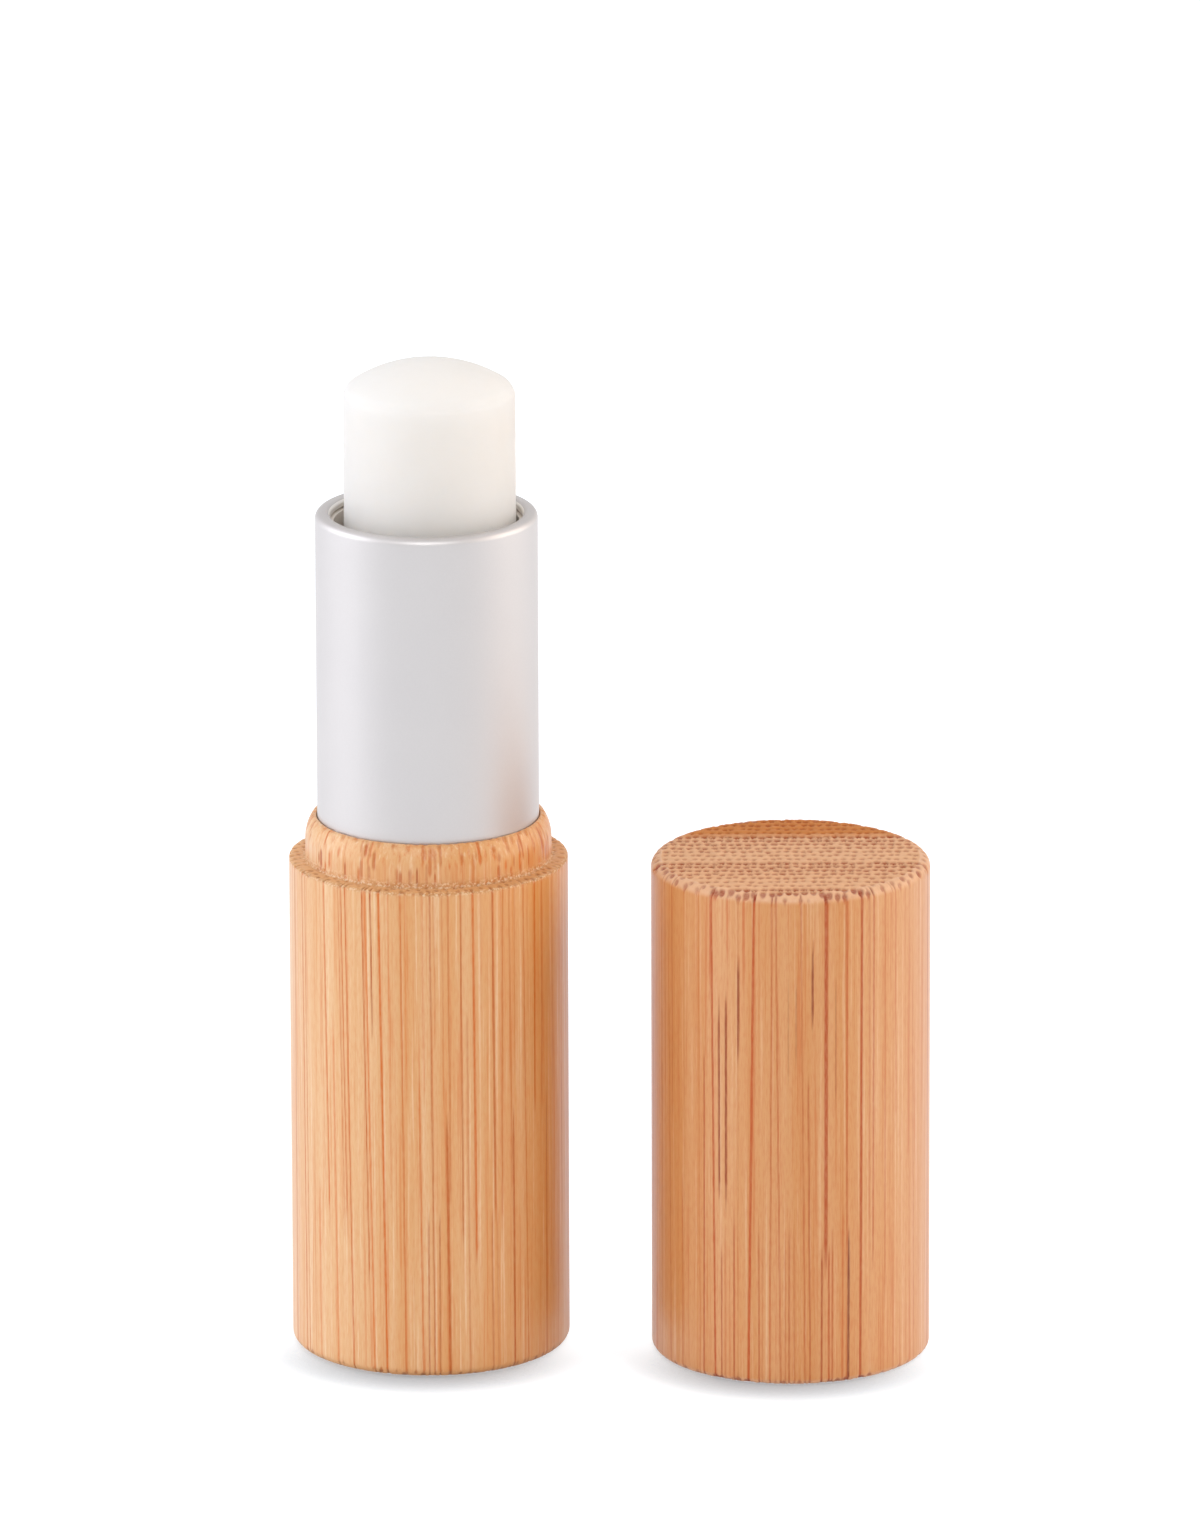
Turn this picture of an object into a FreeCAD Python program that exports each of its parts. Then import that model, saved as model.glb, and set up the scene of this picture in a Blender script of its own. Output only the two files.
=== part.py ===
import FreeCAD, Part
import math
import os
import Sketcher

# A twist-up lip balm stick: a bamboo base and cap, a metal sleeve that turns in the base's neck,
# and the cam mechanism inside the sleeve that raises and lowers the wax.
# The stick's axis is Z, its foot stands on Z = 0, and the cap stands beside it along +X.

doc = FreeCAD.newDocument("lip_balm_stick")
sizes = doc.addObject("Spreadsheet::Sheet", "Sizes")
stations = doc.addObject("Spreadsheet::Sheet", "Stations")

# Driving sizes in millimetres, apart from the counts
driving_sizes = [
    # Radial build-up, from the wax outwards
    ("balm_diameter", "12.3"),
    ("cup_wall", "0.42"),
    ("slide_clearance", "0.06"),
    ("guide_wall", "0.42"),
    ("turn_clearance", "0.06"),
    ("spiral_wall", "0.54"),
    ("sleeve_wall", "0.3"),
    ("sleeve_clearance", "0.12"),
    ("neck_wall", "0.76"),
    ("cap_clearance", "0.07"),
    ("cap_wall", "1.1"),
    # Travel of the wax: the whole stroke, and how far up it is shown
    ("lift_travel", "25"),
    ("shown_lift", "11.8"),
    ("lead", "18"),
    # Heights, from the foot upwards
    ("base_floor", "16.4"),
    ("insert_floor", "1"),
    ("stub_gap", "0.2"),
    ("stub_length", "5"),
    ("flange_height", "0.5"),
    ("brake_land", "1.9"),
    ("floor_gap", "0.4"),
    ("cup_height", "10.8"),
    ("cup_rim_gap", "0.6"),
    ("sleeve_reveal", "22.45"),
    ("neck_height", "3.05"),
    # Bamboo edges
    ("foot_round", "0.7"),
    ("shoulder_round", "0.1"),
    ("neck_round_height", "1.75"),
    ("neck_round_depth", "0.56"),
    ("neck_top_round", "0.25"),
    ("cap_top_round", "0.75"),
    ("cap_mouth_round", "0.5"),
    ("cap_mouth_chamfer", "0.2"),
    # Rolled rim of the sleeve
    ("rim_round", "0.52"),
    ("rim_width", "1.09"),
    ("rim_thickness", "0.6"),
    ("lip_round", "0.42"),
    ("lip_gap", "0.15"),
    # Guide tube, its retaining bead and its keyed stub
    ("end_float", "0.1"),
    ("bead_height", "0.5"),
    ("bead_reach", "0.22"),
    ("bead_chamfer", "0.15"),
    ("stub_inset", "1.3"),
    ("stub_wall", "1.2"),
    ("stub_roof", "0.9"),
    ("stub_clearance", "0.04"),
    ("snap_reach", "0.25"),
    ("snap_height", "0.9"),
    ("snap_rise", "0.8"),
    ("key_count", "8"),
    ("key_width", "1"),
    ("key_reach", "0.45"),
    ("key_length", "2.6"),
    ("glue_groove_depth", "0.2"),
    ("glue_groove_height", "0.9"),
    ("glue_groove_pitch", "2.4"),
    # Brake ring
    ("brake_section", "0.7"),
    ("brake_clearance", "0.03"),
    ("brake_seat_gap", "0.02"),
    ("brake_side_gap", "0.05"),
    # Cam: lugs on the cup and the grooves that lift them
    ("lug_diameter", "1.4"),
    ("lug_height", "1"),
    ("lug_clearance", "0.08"),
    ("groove_depth", "0.34"),
    ("foot_height", "1.2"),
    # Cup floor and the ribs that key the wax
    ("cup_floor", "2"),
    ("rib_count", "6"),
    ("rib_width", "0.6"),
    ("rib_reach", "0.3"),
    ("rib_length", "5"),
    # Domed end of the wax
    ("balm_setback", "0.8"),
    ("dome_height", "2"),
    ("dome_round", "1.25"),
    # Cap and its liner
    ("liner_setback", "0.2"),
    ("liner_step", "0.2"),
    ("cap_headroom", "1.5"),
    ("liner_top", "0.8"),
    ("cap_top", "8.8"),
    ("liner_wall", "0.5"),
    ("grip_count", "6"),
    ("grip_width", "0.8"),
    ("grip_clearance", "0.03"),
    ("grip_length", "9"),
    # Where the cap stands
    ("cap_gap", "5.94"),
    ("cap_forward", "2"),
]

# Radii, heights and places worked out from the driving sizes
worked_out = [
    ("balm_radius", "Sizes.balm_diameter / 2"),
    ("cup_radius", "balm_radius + Sizes.cup_wall"),
    ("guide_bore", "cup_radius + Sizes.slide_clearance"),
    ("guide_radius", "guide_bore + Sizes.guide_wall"),
    ("spiral_bore", "guide_radius + Sizes.turn_clearance"),
    ("spiral_radius", "spiral_bore + Sizes.spiral_wall"),
    ("sleeve_radius", "spiral_radius + Sizes.sleeve_wall"),
    ("base_bore", "sleeve_radius + Sizes.sleeve_clearance"),
    ("neck_radius", "base_bore + Sizes.neck_wall"),
    ("cap_bore", "neck_radius + Sizes.cap_clearance"),
    ("body_radius", "cap_bore + Sizes.cap_wall"),
    # Heights of the stick
    ("socket_floor", "Sizes.base_floor + Sizes.insert_floor"),
    ("stub_bottom", "socket_floor + Sizes.stub_gap"),
    ("flange_bottom", "stub_bottom + Sizes.stub_length"),
    ("flange_top", "flange_bottom + Sizes.flange_height"),
    ("guide_floor", "flange_top + Sizes.brake_land"),
    ("cup_low", "guide_floor + Sizes.floor_gap"),
    ("cup_bottom", "cup_low + Sizes.shown_lift"),
    ("cup_cavity", "cup_bottom + Sizes.cup_floor"),
    ("cup_top", "cup_bottom + Sizes.cup_height"),
    ("rim_top", "cup_low + Sizes.lift_travel + Sizes.cup_height + Sizes.cup_rim_gap"),
    ("lip_under", "rim_top - Sizes.rim_thickness"),
    ("lip_bore", "sleeve_radius - Sizes.rim_width"),
    ("guide_top", "lip_under - Sizes.lip_gap"),
    ("bead_under", "guide_top - Sizes.bead_height"),
    ("bead_radius", "spiral_bore + Sizes.bead_reach"),
    ("spiral_top", "bead_under - Sizes.end_float"),
    ("spiral_bottom", "flange_top + Sizes.end_float"),
    ("foot_top", "spiral_bottom + Sizes.foot_height"),
    ("neck_top", "rim_top - Sizes.sleeve_reveal"),
    ("shoulder", "neck_top - Sizes.neck_height"),
    ("neck_round_start", "neck_top - Sizes.neck_round_height"),
    ("neck_top_radius", "neck_radius - Sizes.neck_round_depth"),
    ("neck_arc", "(Sizes.neck_round_depth ^ 2 + Sizes.neck_round_height ^ 2) / (2 * Sizes.neck_round_depth)"),
    # Stub, socket and glue grooves
    ("stub_radius", "guide_bore - Sizes.stub_inset"),
    ("stub_core", "stub_radius - Sizes.stub_wall"),
    ("stub_core_top", "flange_bottom - Sizes.stub_roof"),
    ("snap_bottom", "stub_bottom + Sizes.snap_rise"),
    ("snap_top", "snap_bottom + Sizes.snap_height"),
    ("snap_radius", "stub_radius + Sizes.snap_reach"),
    ("socket_radius", "stub_radius + Sizes.stub_clearance"),
    ("snap_groove_bottom", "snap_bottom - Sizes.stub_clearance"),
    ("snap_groove_top", "snap_top + Sizes.stub_clearance"),
    ("snap_groove_radius", "snap_radius + Sizes.stub_clearance"),
    ("key_tip", "stub_radius + Sizes.key_reach"),
    ("key_bottom", "flange_bottom - Sizes.key_length"),
    ("keyway_tip", "key_tip + Sizes.stub_clearance"),
    ("keyway_width", "Sizes.key_width + 2 * Sizes.stub_clearance"),
    ("keyway_depth", "Sizes.key_length + Sizes.stub_clearance"),
    ("glue_radius", "base_bore - Sizes.glue_groove_depth"),
    ("glue_low", "socket_floor"),
    ("glue_low_top", "glue_low + Sizes.glue_groove_height"),
    ("glue_high", "glue_low + Sizes.glue_groove_pitch"),
    ("glue_high_top", "glue_high + Sizes.glue_groove_height"),
    # Brake ring and its seat
    ("brake_radius", "spiral_bore - Sizes.brake_clearance - brake_half"),
    ("brake_half", "Sizes.brake_section / 2"),
    ("brake_height", "flange_top + Sizes.brake_land / 2"),
    ("brake_seat", "brake_radius - brake_half - Sizes.brake_seat_gap"),
    ("brake_seat_bottom", "brake_height - brake_half - Sizes.brake_side_gap"),
    ("brake_seat_top", "brake_height + brake_half + Sizes.brake_side_gap"),
    # Cam: the lug turns the helix into lift, with the same clearance on every side of it
    ("lug_radius", "Sizes.lug_diameter / 2"),
    ("lug_play", "lug_radius + Sizes.lug_clearance"),
    ("lug_axis", "cup_bottom + Sizes.lug_height"),
    ("lug_low", "cup_low + Sizes.lug_height"),
    ("lug_high", "lug_low + Sizes.lift_travel"),
    ("groove_radius", "spiral_bore + Sizes.groove_depth"),
    ("groove_inside", "guide_radius"),
    ("lug_span", "2 * sqrt((groove_radius - Sizes.lug_clearance) ^ 2 - lug_radius ^ 2)"),
    ("helix_slope", "Sizes.lead / (2 * pi * spiral_bore)"),
    ("groove_half", "lug_play * sqrt(1 + helix_slope ^ 2)"),
    ("groove_end", "helix_slope * (lug_radius + 2 * Sizes.lug_clearance)"),
    ("groove_start", "lug_low - groove_end"),
    ("groove_bottom", "groove_start - groove_half"),
    ("groove_top", "groove_start + groove_half"),
    ("groove_rise", "Sizes.lift_travel + 2 * groove_end"),
    ("spiral_turn", "360 - (360 * (Sizes.shown_lift + groove_end) / Sizes.lead) % 360"),
    # Ribs in the cup, and the wax
    ("rib_tip", "balm_radius - Sizes.rib_reach"),
    ("rib_root", "balm_radius + Sizes.cup_wall / 2"),
    ("balm_top", "rim_top - Sizes.balm_setback + Sizes.shown_lift"),
    ("dome_base", "balm_top - Sizes.dome_height"),
    ("dome_arc", "(balm_radius ^ 2 + Sizes.dome_height ^ 2) / (2 * Sizes.dome_height)"),
    # Cap and liner, measured up from the cap's mouth
    ("liner_mouth", "Sizes.neck_height + Sizes.liner_setback"),
    ("liner_ceiling", "Sizes.neck_height + Sizes.sleeve_reveal + Sizes.cap_headroom"),
    ("cap_depth", "liner_ceiling + Sizes.liner_top"),
    ("cap_height", "cap_depth + Sizes.cap_top"),
    ("liner_seat", "cap_bore - Sizes.liner_step"),
    ("liner_bore", "liner_seat - Sizes.liner_wall"),
    ("grip_tip", "sleeve_radius + Sizes.grip_clearance"),
    ("grip_root", "liner_seat - Sizes.liner_wall / 2"),
    ("cap_x", "2 * body_radius + Sizes.cap_gap"),
    ("cap_y", "-Sizes.cap_forward"),
]


def fill_sheet(sheet, rows, formula_mark):
    for number, (alias, content) in enumerate(rows, start=1):
        sheet.set(f"A{number}", alias)
        sheet.set(f"B{number}", formula_mark + content)
        sheet.setAlias(f"B{number}", alias)


fill_sheet(sizes, driving_sizes, "")
fill_sheet(stations, worked_out, "=")
doc.recompute()

driving_names = [alias for alias, content in driving_sizes]
full_turn = 360
groove_starts = 2
tolerance = 1e-6


def cell(alias):
    sheet = "Sizes" if alias in driving_names else "Stations"
    return f"{sheet}.{alias}"


def number(alias):
    return float(sizes.evalExpression(cell(alias)))


def make_body(label):
    body = doc.addObject("PartDesign::Body", label)
    body.Label = label
    return body


def origin_feature(body, role):
    return next(item for item in body.Origin.OriginFeatures if item.Role == role)


def new_sketch(body, name, plane, height=None):
    sketch = body.newObject("Sketcher::SketchObject", name)
    sketch.AttachmentSupport = (origin_feature(body, plane), [""])
    sketch.MapMode = "FlatFace"
    if height:
        sketch.setExpression("AttachmentOffset.Base.z", cell(height))
    return sketch


def bind(sketch, kind, *place, expression):
    index = sketch.addConstraint(Sketcher.Constraint(kind, *place, float(sizes.evalExpression(expression))))
    sketch.setExpression(f"Constraints[{index}]", expression)


def pin_point(sketch, geometry, end, x_expression, y_expression):
    # Ties one end of a line or arc to the sketch axes or to its two distances from the origin
    if x_expression:
        bind(sketch, "DistanceX", -1, 1, geometry, end, expression=x_expression)
    else:
        sketch.addConstraint(Sketcher.Constraint("PointOnObject", geometry, end, -2))
    if y_expression:
        bind(sketch, "DistanceY", -1, 1, geometry, end, expression=y_expression)
    else:
        sketch.addConstraint(Sketcher.Constraint("PointOnObject", geometry, end, -1))


def arc_between(start, end, radius):
    # Minor arc that runs anticlockwise from start to end
    chord = end - start
    side = FreeCAD.Vector(-chord.y, chord.x, 0).normalize()
    rise = math.sqrt(max(radius ** 2 - (chord.Length / 2) ** 2, 0))
    centre = (start + end) * 0.5 + side * rise
    first = math.atan2(start.y - centre.y, start.x - centre.x)
    last = math.atan2(end.y - centre.y, end.x - centre.x)
    circle = Part.Circle(centre, FreeCAD.Vector(0, 0, 1), radius)
    return Part.ArcOfCircle(circle, first, last if last > first else last + 2 * math.pi)


def draw_loop(sketch, corners, arcs=None, centred=()):
    # A closed outline through corners given as pairs of expressions, anticlockwise.
    # arcs maps the number of an edge to its radius; other edges are straight. An arc leaves the edge
    # before it smoothly, or has its centre on the sketch's upright axis if centred names it.
    arcs = arcs or {}
    points = []
    for x_expression, y_expression in corners:
        x = float(sizes.evalExpression(x_expression or "0"))
        y = float(sizes.evalExpression(y_expression or "0"))
        points.append(FreeCAD.Vector(x, y, 0))
    count = len(points)
    for index, start in enumerate(points):
        end = points[(index + 1) % count]
        if index in arcs:
            sketch.addGeometry(arc_between(start, end, float(sizes.evalExpression(arcs[index]))), False)
        else:
            sketch.addGeometry(Part.LineSegment(start, end), False)
    for index in range(count):
        following = (index + 1) % count
        smooth = following in arcs and following not in centred
        kind = "Tangent" if smooth else "Coincident"
        sketch.addConstraint(Sketcher.Constraint(kind, index, 2, following, 1))
    for index in centred:
        sketch.addConstraint(Sketcher.Constraint("PointOnObject", index, 3, -2))
    for index, (x_expression, y_expression) in enumerate(corners):
        pin_point(sketch, index, 1, x_expression, y_expression)


def turn_profile(body, name, corners, arcs=None, centred=()):
    # A solid turned about Z from an outline of (radius, height) cell names, where None is the axis or Z = 0
    sketch = new_sketch(body, name + "_profile", "XZ_Plane")
    bound = [tuple(cell(alias) if alias else None for alias in corner) for corner in corners]
    draw_loop(sketch, bound, {index: cell(alias) for index, alias in (arcs or {}).items()}, centred)
    turned = body.newObject("PartDesign::Revolution", name)
    turned.Profile = sketch
    turned.ReferenceAxis = (sketch, ["V_Axis"])
    turned.Angle = full_turn
    doc.recompute()
    return turned


def round_edges(body, name, size, spots, kind="Fillet"):
    # Rounds or chamfers the circular edges that lie at the given (radius, height) cell names
    base = body.Tip
    picked = []
    for index, edge in enumerate(base.Shape.Edges, start=1):
        if edge.Degenerated or not isinstance(edge.Curve, Part.Circle):
            continue
        for radius, height in spots:
            level = number(height) if height else 0
            near_radius = math.isclose(edge.Curve.Radius, number(radius), abs_tol=tolerance)
            if near_radius and math.isclose(edge.Curve.Center.z, level, abs_tol=tolerance):
                picked.append(f"Edge{index}")
    if len(picked) < len(spots):
        raise RuntimeError(f"{name}: an edge to round was not found")
    dressed = body.newObject("PartDesign::" + kind, name)
    dressed.Base = (base, picked)
    dressed.setExpression("Radius" if kind == "Fillet" else "Size", cell(size))
    doc.recompute()
    return dressed


def spoke(body, kind, name, inner, outer, width, height, length, upward):
    # A bar or a cut of rectangular section that runs along Z, between two radii on the +X side
    sketch = new_sketch(body, name + "_section", "XY_Plane", height)
    half = cell(width) + " / 2"
    low = "-" + half
    corners = [(cell(inner), low), (cell(outer), low), (cell(outer), half), (cell(inner), half)]
    draw_loop(sketch, corners)
    feature = body.newObject("PartDesign::" + kind, name)
    feature.Profile = sketch
    feature.setExpression("Length", cell(length))
    feature.Reversed = upward if kind == "Pocket" else not upward
    doc.recompute()
    return feature


def repeat_round(body, feature, name, count):
    # Copies a feature evenly round the Z axis; count is a cell name or a whole number
    pattern = body.newObject("PartDesign::PolarPattern", name)
    pattern.Originals = [feature]
    pattern.Axis = (origin_feature(body, "Z_Axis"), [""])
    pattern.Angle = full_turn
    if isinstance(count, str):
        pattern.setExpression("Occurrences", cell(count))
    else:
        pattern.Occurrences = count
    body.Tip = pattern
    doc.recompute()
    return pattern


def check_cut(before, feature):
    if feature.Shape.Volume >= before - tolerance:
        raise RuntimeError(f"{feature.Label} removed nothing")


def check_added(before, feature):
    if feature.Shape.Volume <= before + tolerance:
        raise RuntimeError(f"{feature.Label} added nothing")


def make_bamboo_base():
    # Foot, straight side, square shoulder, thin neck that curves in, and one straight drilled bore
    body = make_body("bamboo_base")
    corners = [
        (None, None),
        ("body_radius", None),
        ("body_radius", "shoulder"),
        ("neck_radius", "shoulder"),
        ("neck_radius", "neck_round_start"),
        ("neck_top_radius", "neck_top"),
        ("base_bore", "neck_top"),
        ("base_bore", "base_floor"),
        (None, "base_floor"),
    ]
    turn_profile(body, "base_turned", corners, {4: "neck_arc"})
    round_edges(body, "foot_edge", "foot_round", [("body_radius", None)])
    round_edges(body, "shoulder_edge", "shoulder_round", [("body_radius", "shoulder")])
    round_edges(body, "neck_edge", "neck_top_round", [("neck_top_radius", "neck_top")])
    return body


def make_base_insert():
    # Socket for the guide tube's stub: two glue grooves outside, a snap groove and keyways inside
    body = make_body("base_insert")
    corners = [
        (None, "base_floor"),
        ("base_bore", "base_floor"),
        ("base_bore", "glue_low"),
        ("glue_radius", "glue_low"),
        ("glue_radius", "glue_low_top"),
        ("base_bore", "glue_low_top"),
        ("base_bore", "glue_high"),
        ("glue_radius", "glue_high"),
        ("glue_radius", "glue_high_top"),
        ("base_bore", "glue_high_top"),
        ("base_bore", "flange_bottom"),
        ("socket_radius", "flange_bottom"),
        ("socket_radius", "snap_groove_top"),
        ("snap_groove_radius", "snap_groove_top"),
        ("snap_groove_radius", "snap_groove_bottom"),
        ("socket_radius", "snap_groove_bottom"),
        ("socket_radius", "socket_floor"),
        (None, "socket_floor"),
    ]
    socket = turn_profile(body, "insert_turned", corners)
    before = socket.Shape.Volume
    keyway = spoke(body, "Pocket", "keyway", "stub_core", "keyway_tip", "keyway_width",
                   "flange_bottom", "keyway_depth", upward=False)
    check_cut(before, keyway)
    repeat_round(body, keyway, "keyways", "key_count")
    return body


def make_guide_tube():
    # Slotted inner tube: a cored stub with keys and a snap bead, a flange that carries the spiral tube,
    # the brake ring's seat, the two straight slots, and the bead that keeps the spiral tube on
    body = make_body("guide_tube")
    corners = [
        ("stub_core", "stub_bottom"),
        ("stub_radius", "stub_bottom"),
        ("stub_radius", "snap_bottom"),
        ("snap_radius", "snap_bottom"),
        ("snap_radius", "snap_top"),
        ("stub_radius", "snap_top"),
        ("stub_radius", "flange_bottom"),
        ("spiral_radius", "flange_bottom"),
        ("spiral_radius", "flange_top"),
        ("guide_radius", "flange_top"),
        ("guide_radius", "brake_seat_bottom"),
        ("brake_seat", "brake_seat_bottom"),
        ("brake_seat", "brake_seat_top"),
        ("guide_radius", "brake_seat_top"),
        ("guide_radius", "bead_under"),
        ("bead_radius", "bead_under"),
        ("bead_radius", "guide_top"),
        ("guide_bore", "guide_top"),
        ("guide_bore", "guide_floor"),
        (None, "guide_floor"),
        (None, "stub_core_top"),
        ("stub_core", "stub_core_top"),
    ]
    turn_profile(body, "guide_turned", corners)
    chamfered = round_edges(body, "bead_lead_in", "bead_chamfer", [("bead_radius", "guide_top")], "Chamfer")
    before = chamfered.Shape.Volume
    key = spoke(body, "Pad", "key", "stub_core", "key_tip", "key_width", "key_bottom", "key_length",
                upward=True)
    check_added(before, key)
    keyed = repeat_round(body, key, "keys", "key_count")
    before = keyed.Shape.Volume
    sketch = new_sketch(body, "slot_outline", "YZ_Plane")
    play = cell("lug_play")
    low = cell("lug_low")
    high = cell("lug_high")
    corners = [(play, low), (play, high), ("-" + play, high), ("-" + play, low)]
    draw_loop(sketch, corners, {1: play, 3: play})
    slots = body.newObject("PartDesign::Pocket", "slots")
    slots.Profile = sketch
    slots.Type = "ThroughAll"
    slots.SideType = "Symmetric"
    doc.recompute()
    check_cut(before, slots)
    return body


def make_brake_ring():
    # Round-section ring in its seat just above the guide tube's flange
    ring = doc.addObject("Part::Torus", "brake_ring")
    ring.Label = "brake_ring"
    ring.setExpression("Radius1", cell("brake_radius"))
    ring.setExpression("Radius2", cell("brake_half"))
    ring.setExpression("Placement.Base.z", cell("brake_height"))
    return ring


def make_spiral_tube():
    # Cam tube with a foot ring under the sleeve and a two-start right-hand groove cut from inside.
    # The tube is turned so that the grooves meet the lugs at the height where the wax is shown.
    body = make_body("spiral_tube")
    corners = [
        ("spiral_bore", "spiral_bottom"),
        ("sleeve_radius", "spiral_bottom"),
        ("sleeve_radius", "foot_top"),
        ("spiral_radius", "foot_top"),
        ("spiral_radius", "spiral_top"),
        ("spiral_bore", "spiral_top"),
    ]
    tube = turn_profile(body, "spiral_turned", corners)
    before = tube.Shape.Volume
    sketch = new_sketch(body, "groove_section", "XZ_Plane")
    inside = cell("groove_inside")
    outside = cell("groove_radius")
    bottom = cell("groove_bottom")
    top = cell("groove_top")
    draw_loop(sketch, [(inside, bottom), (outside, bottom), (outside, top), (inside, top)])
    groove = body.newObject("PartDesign::SubtractiveHelix", "groove")
    groove.Profile = sketch
    groove.ReferenceAxis = (sketch, ["V_Axis"])
    groove.Mode = "pitch-height-angle"
    groove.setExpression("Pitch", cell("lead"))
    groove.setExpression("Height", cell("groove_rise"))
    doc.recompute()
    check_cut(before, groove)
    repeat_round(body, groove, "starts", groove_starts)
    body.setExpression("Placement.Rotation.Angle", cell("spiral_turn"))
    return body


def make_metal_sleeve():
    # Drawn shell that sits on the spiral tube's foot ring, with its top edge rolled in over the mechanism
    body = make_body("metal_sleeve")
    corners = [
        ("spiral_radius", "foot_top"),
        ("sleeve_radius", "foot_top"),
        ("sleeve_radius", "rim_top"),
        ("lip_bore", "rim_top"),
        ("lip_bore", "lip_under"),
        ("spiral_radius", "lip_under"),
    ]
    turn_profile(body, "sleeve_drawn", corners)
    round_edges(body, "rim_edge", "rim_round", [("sleeve_radius", "rim_top")])
    round_edges(body, "lip_edge", "lip_round", [("lip_bore", "rim_top")])
    return body


def make_balm_cup():
    # Cup with a thick floor that carries the two lugs, and ribs inside that key the wax
    body = make_body("balm_cup")
    corners = [
        (None, "cup_bottom"),
        ("cup_radius", "cup_bottom"),
        ("cup_radius", "cup_top"),
        ("balm_radius", "cup_top"),
        ("balm_radius", "cup_cavity"),
        (None, "cup_cavity"),
    ]
    cup = turn_profile(body, "cup_turned", corners)
    before = cup.Shape.Volume
    sketch = new_sketch(body, "lug_section", "YZ_Plane")
    sketch.addGeometry(Part.Circle(FreeCAD.Vector(0, number("lug_axis"), 0), FreeCAD.Vector(0, 0, 1),
                                   number("lug_radius")), False)
    pin_point(sketch, 0, 3, None, cell("lug_axis"))
    bind(sketch, "Radius", 0, expression=cell("lug_radius"))
    lugs = body.newObject("PartDesign::Pad", "lugs")
    lugs.Profile = sketch
    lugs.SideType = "Symmetric"
    lugs.setExpression("Length", cell("lug_span"))
    doc.recompute()
    check_added(before, lugs)
    before = lugs.Shape.Volume
    rib = spoke(body, "Pad", "rib", "rib_tip", "rib_root", "rib_width", "cup_cavity", "rib_length",
                upward=True)
    check_added(before, rib)
    repeat_round(body, rib, "ribs", "rib_count")
    return body


def make_balm():
    # Wax bullet cast into the cup round its ribs, with a low dome on a softened edge
    body = make_body("balm")
    corners = [
        (None, "cup_cavity"),
        ("balm_radius", "cup_cavity"),
        ("balm_radius", "dome_base"),
        (None, "balm_top"),
    ]
    turn_profile(body, "bullet_cast", corners, {2: "dome_arc"}, centred=[2])
    rounded = round_edges(body, "dome_edge", "dome_round", [("balm_radius", "dome_base")])
    before = rounded.Shape.Volume
    channel = spoke(body, "Pocket", "channel", "rib_tip", "rib_root", "rib_width",
                    "cup_cavity", "rib_length", upward=True)
    check_cut(before, channel)
    repeat_round(body, channel, "channels", "rib_count")
    return body


def stand_cap(body):
    body.setExpression("Placement.Base.x", cell("cap_x"))
    body.setExpression("Placement.Base.y", cell("cap_y"))


def make_bamboo_cap():
    # Turned cap standing on its mouth, with a solid end and a stepped bore: the wide mouth takes the neck
    # and the narrower stretch above it takes the liner
    body = make_body("bamboo_cap")
    corners = [
        ("cap_bore", None),
        ("body_radius", None),
        ("body_radius", "cap_height"),
        (None, "cap_height"),
        (None, "cap_depth"),
        ("liner_seat", "cap_depth"),
        ("liner_seat", "liner_mouth"),
        ("cap_bore", "liner_mouth"),
    ]
    turn_profile(body, "cap_turned", corners)
    round_edges(body, "cap_top_edge", "cap_top_round", [("body_radius", "cap_height")])
    round_edges(body, "cap_mouth_edge", "cap_mouth_round", [("body_radius", None)])
    round_edges(body, "cap_lead_in", "cap_mouth_chamfer", [("cap_bore", None)], "Chamfer")
    stand_cap(body)
    return body


def make_cap_liner():
    # Closed thin tube glued into the cap, above the stretch that covers the neck, with grip ribs
    body = make_body("cap_liner")
    corners = [
        ("liner_bore", "liner_mouth"),
        ("liner_seat", "liner_mouth"),
        ("liner_seat", "cap_depth"),
        (None, "cap_depth"),
        (None, "liner_ceiling"),
        ("liner_bore", "liner_ceiling"),
    ]
    liner = turn_profile(body, "liner_turned", corners)
    before = liner.Shape.Volume
    grip = spoke(body, "Pad", "grip", "grip_tip", "grip_root", "grip_width", "liner_mouth", "grip_length",
                 upward=True)
    check_added(before, grip)
    repeat_round(body, grip, "grips", "grip_count")
    stand_cap(body)
    return body


pieces = [
    make_bamboo_base(),
    make_base_insert(),
    make_guide_tube(),
    make_brake_ring(),
    make_spiral_tube(),
    make_metal_sleeve(),
    make_balm_cup(),
    make_balm(),
    make_bamboo_cap(),
    make_cap_liner(),
]
doc.recompute()

for item in doc.Objects:
    if "Invalid" in item.State or "Error" in item.State:
        raise RuntimeError(f"{item.Label} failed: {item.State}")
for piece in pieces:
    if piece.Shape.isNull() or not piece.Shape.isValid() or len(piece.Shape.Solids) != 1:
        raise RuntimeError(f"{piece.Label} is not one valid solid")

os.makedirs("parts", exist_ok=True)
for piece in pieces:
    piece.Shape.exportStep(f"parts/{piece.Label}.step")
    print(piece.Label, round(piece.Shape.Volume, 2), "mm3")
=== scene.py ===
import math

import bpy
import numpy as np
from mathutils import Euler, Matrix, Vector
from mathutils.geometry import delaunay_2d_cdt


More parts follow.
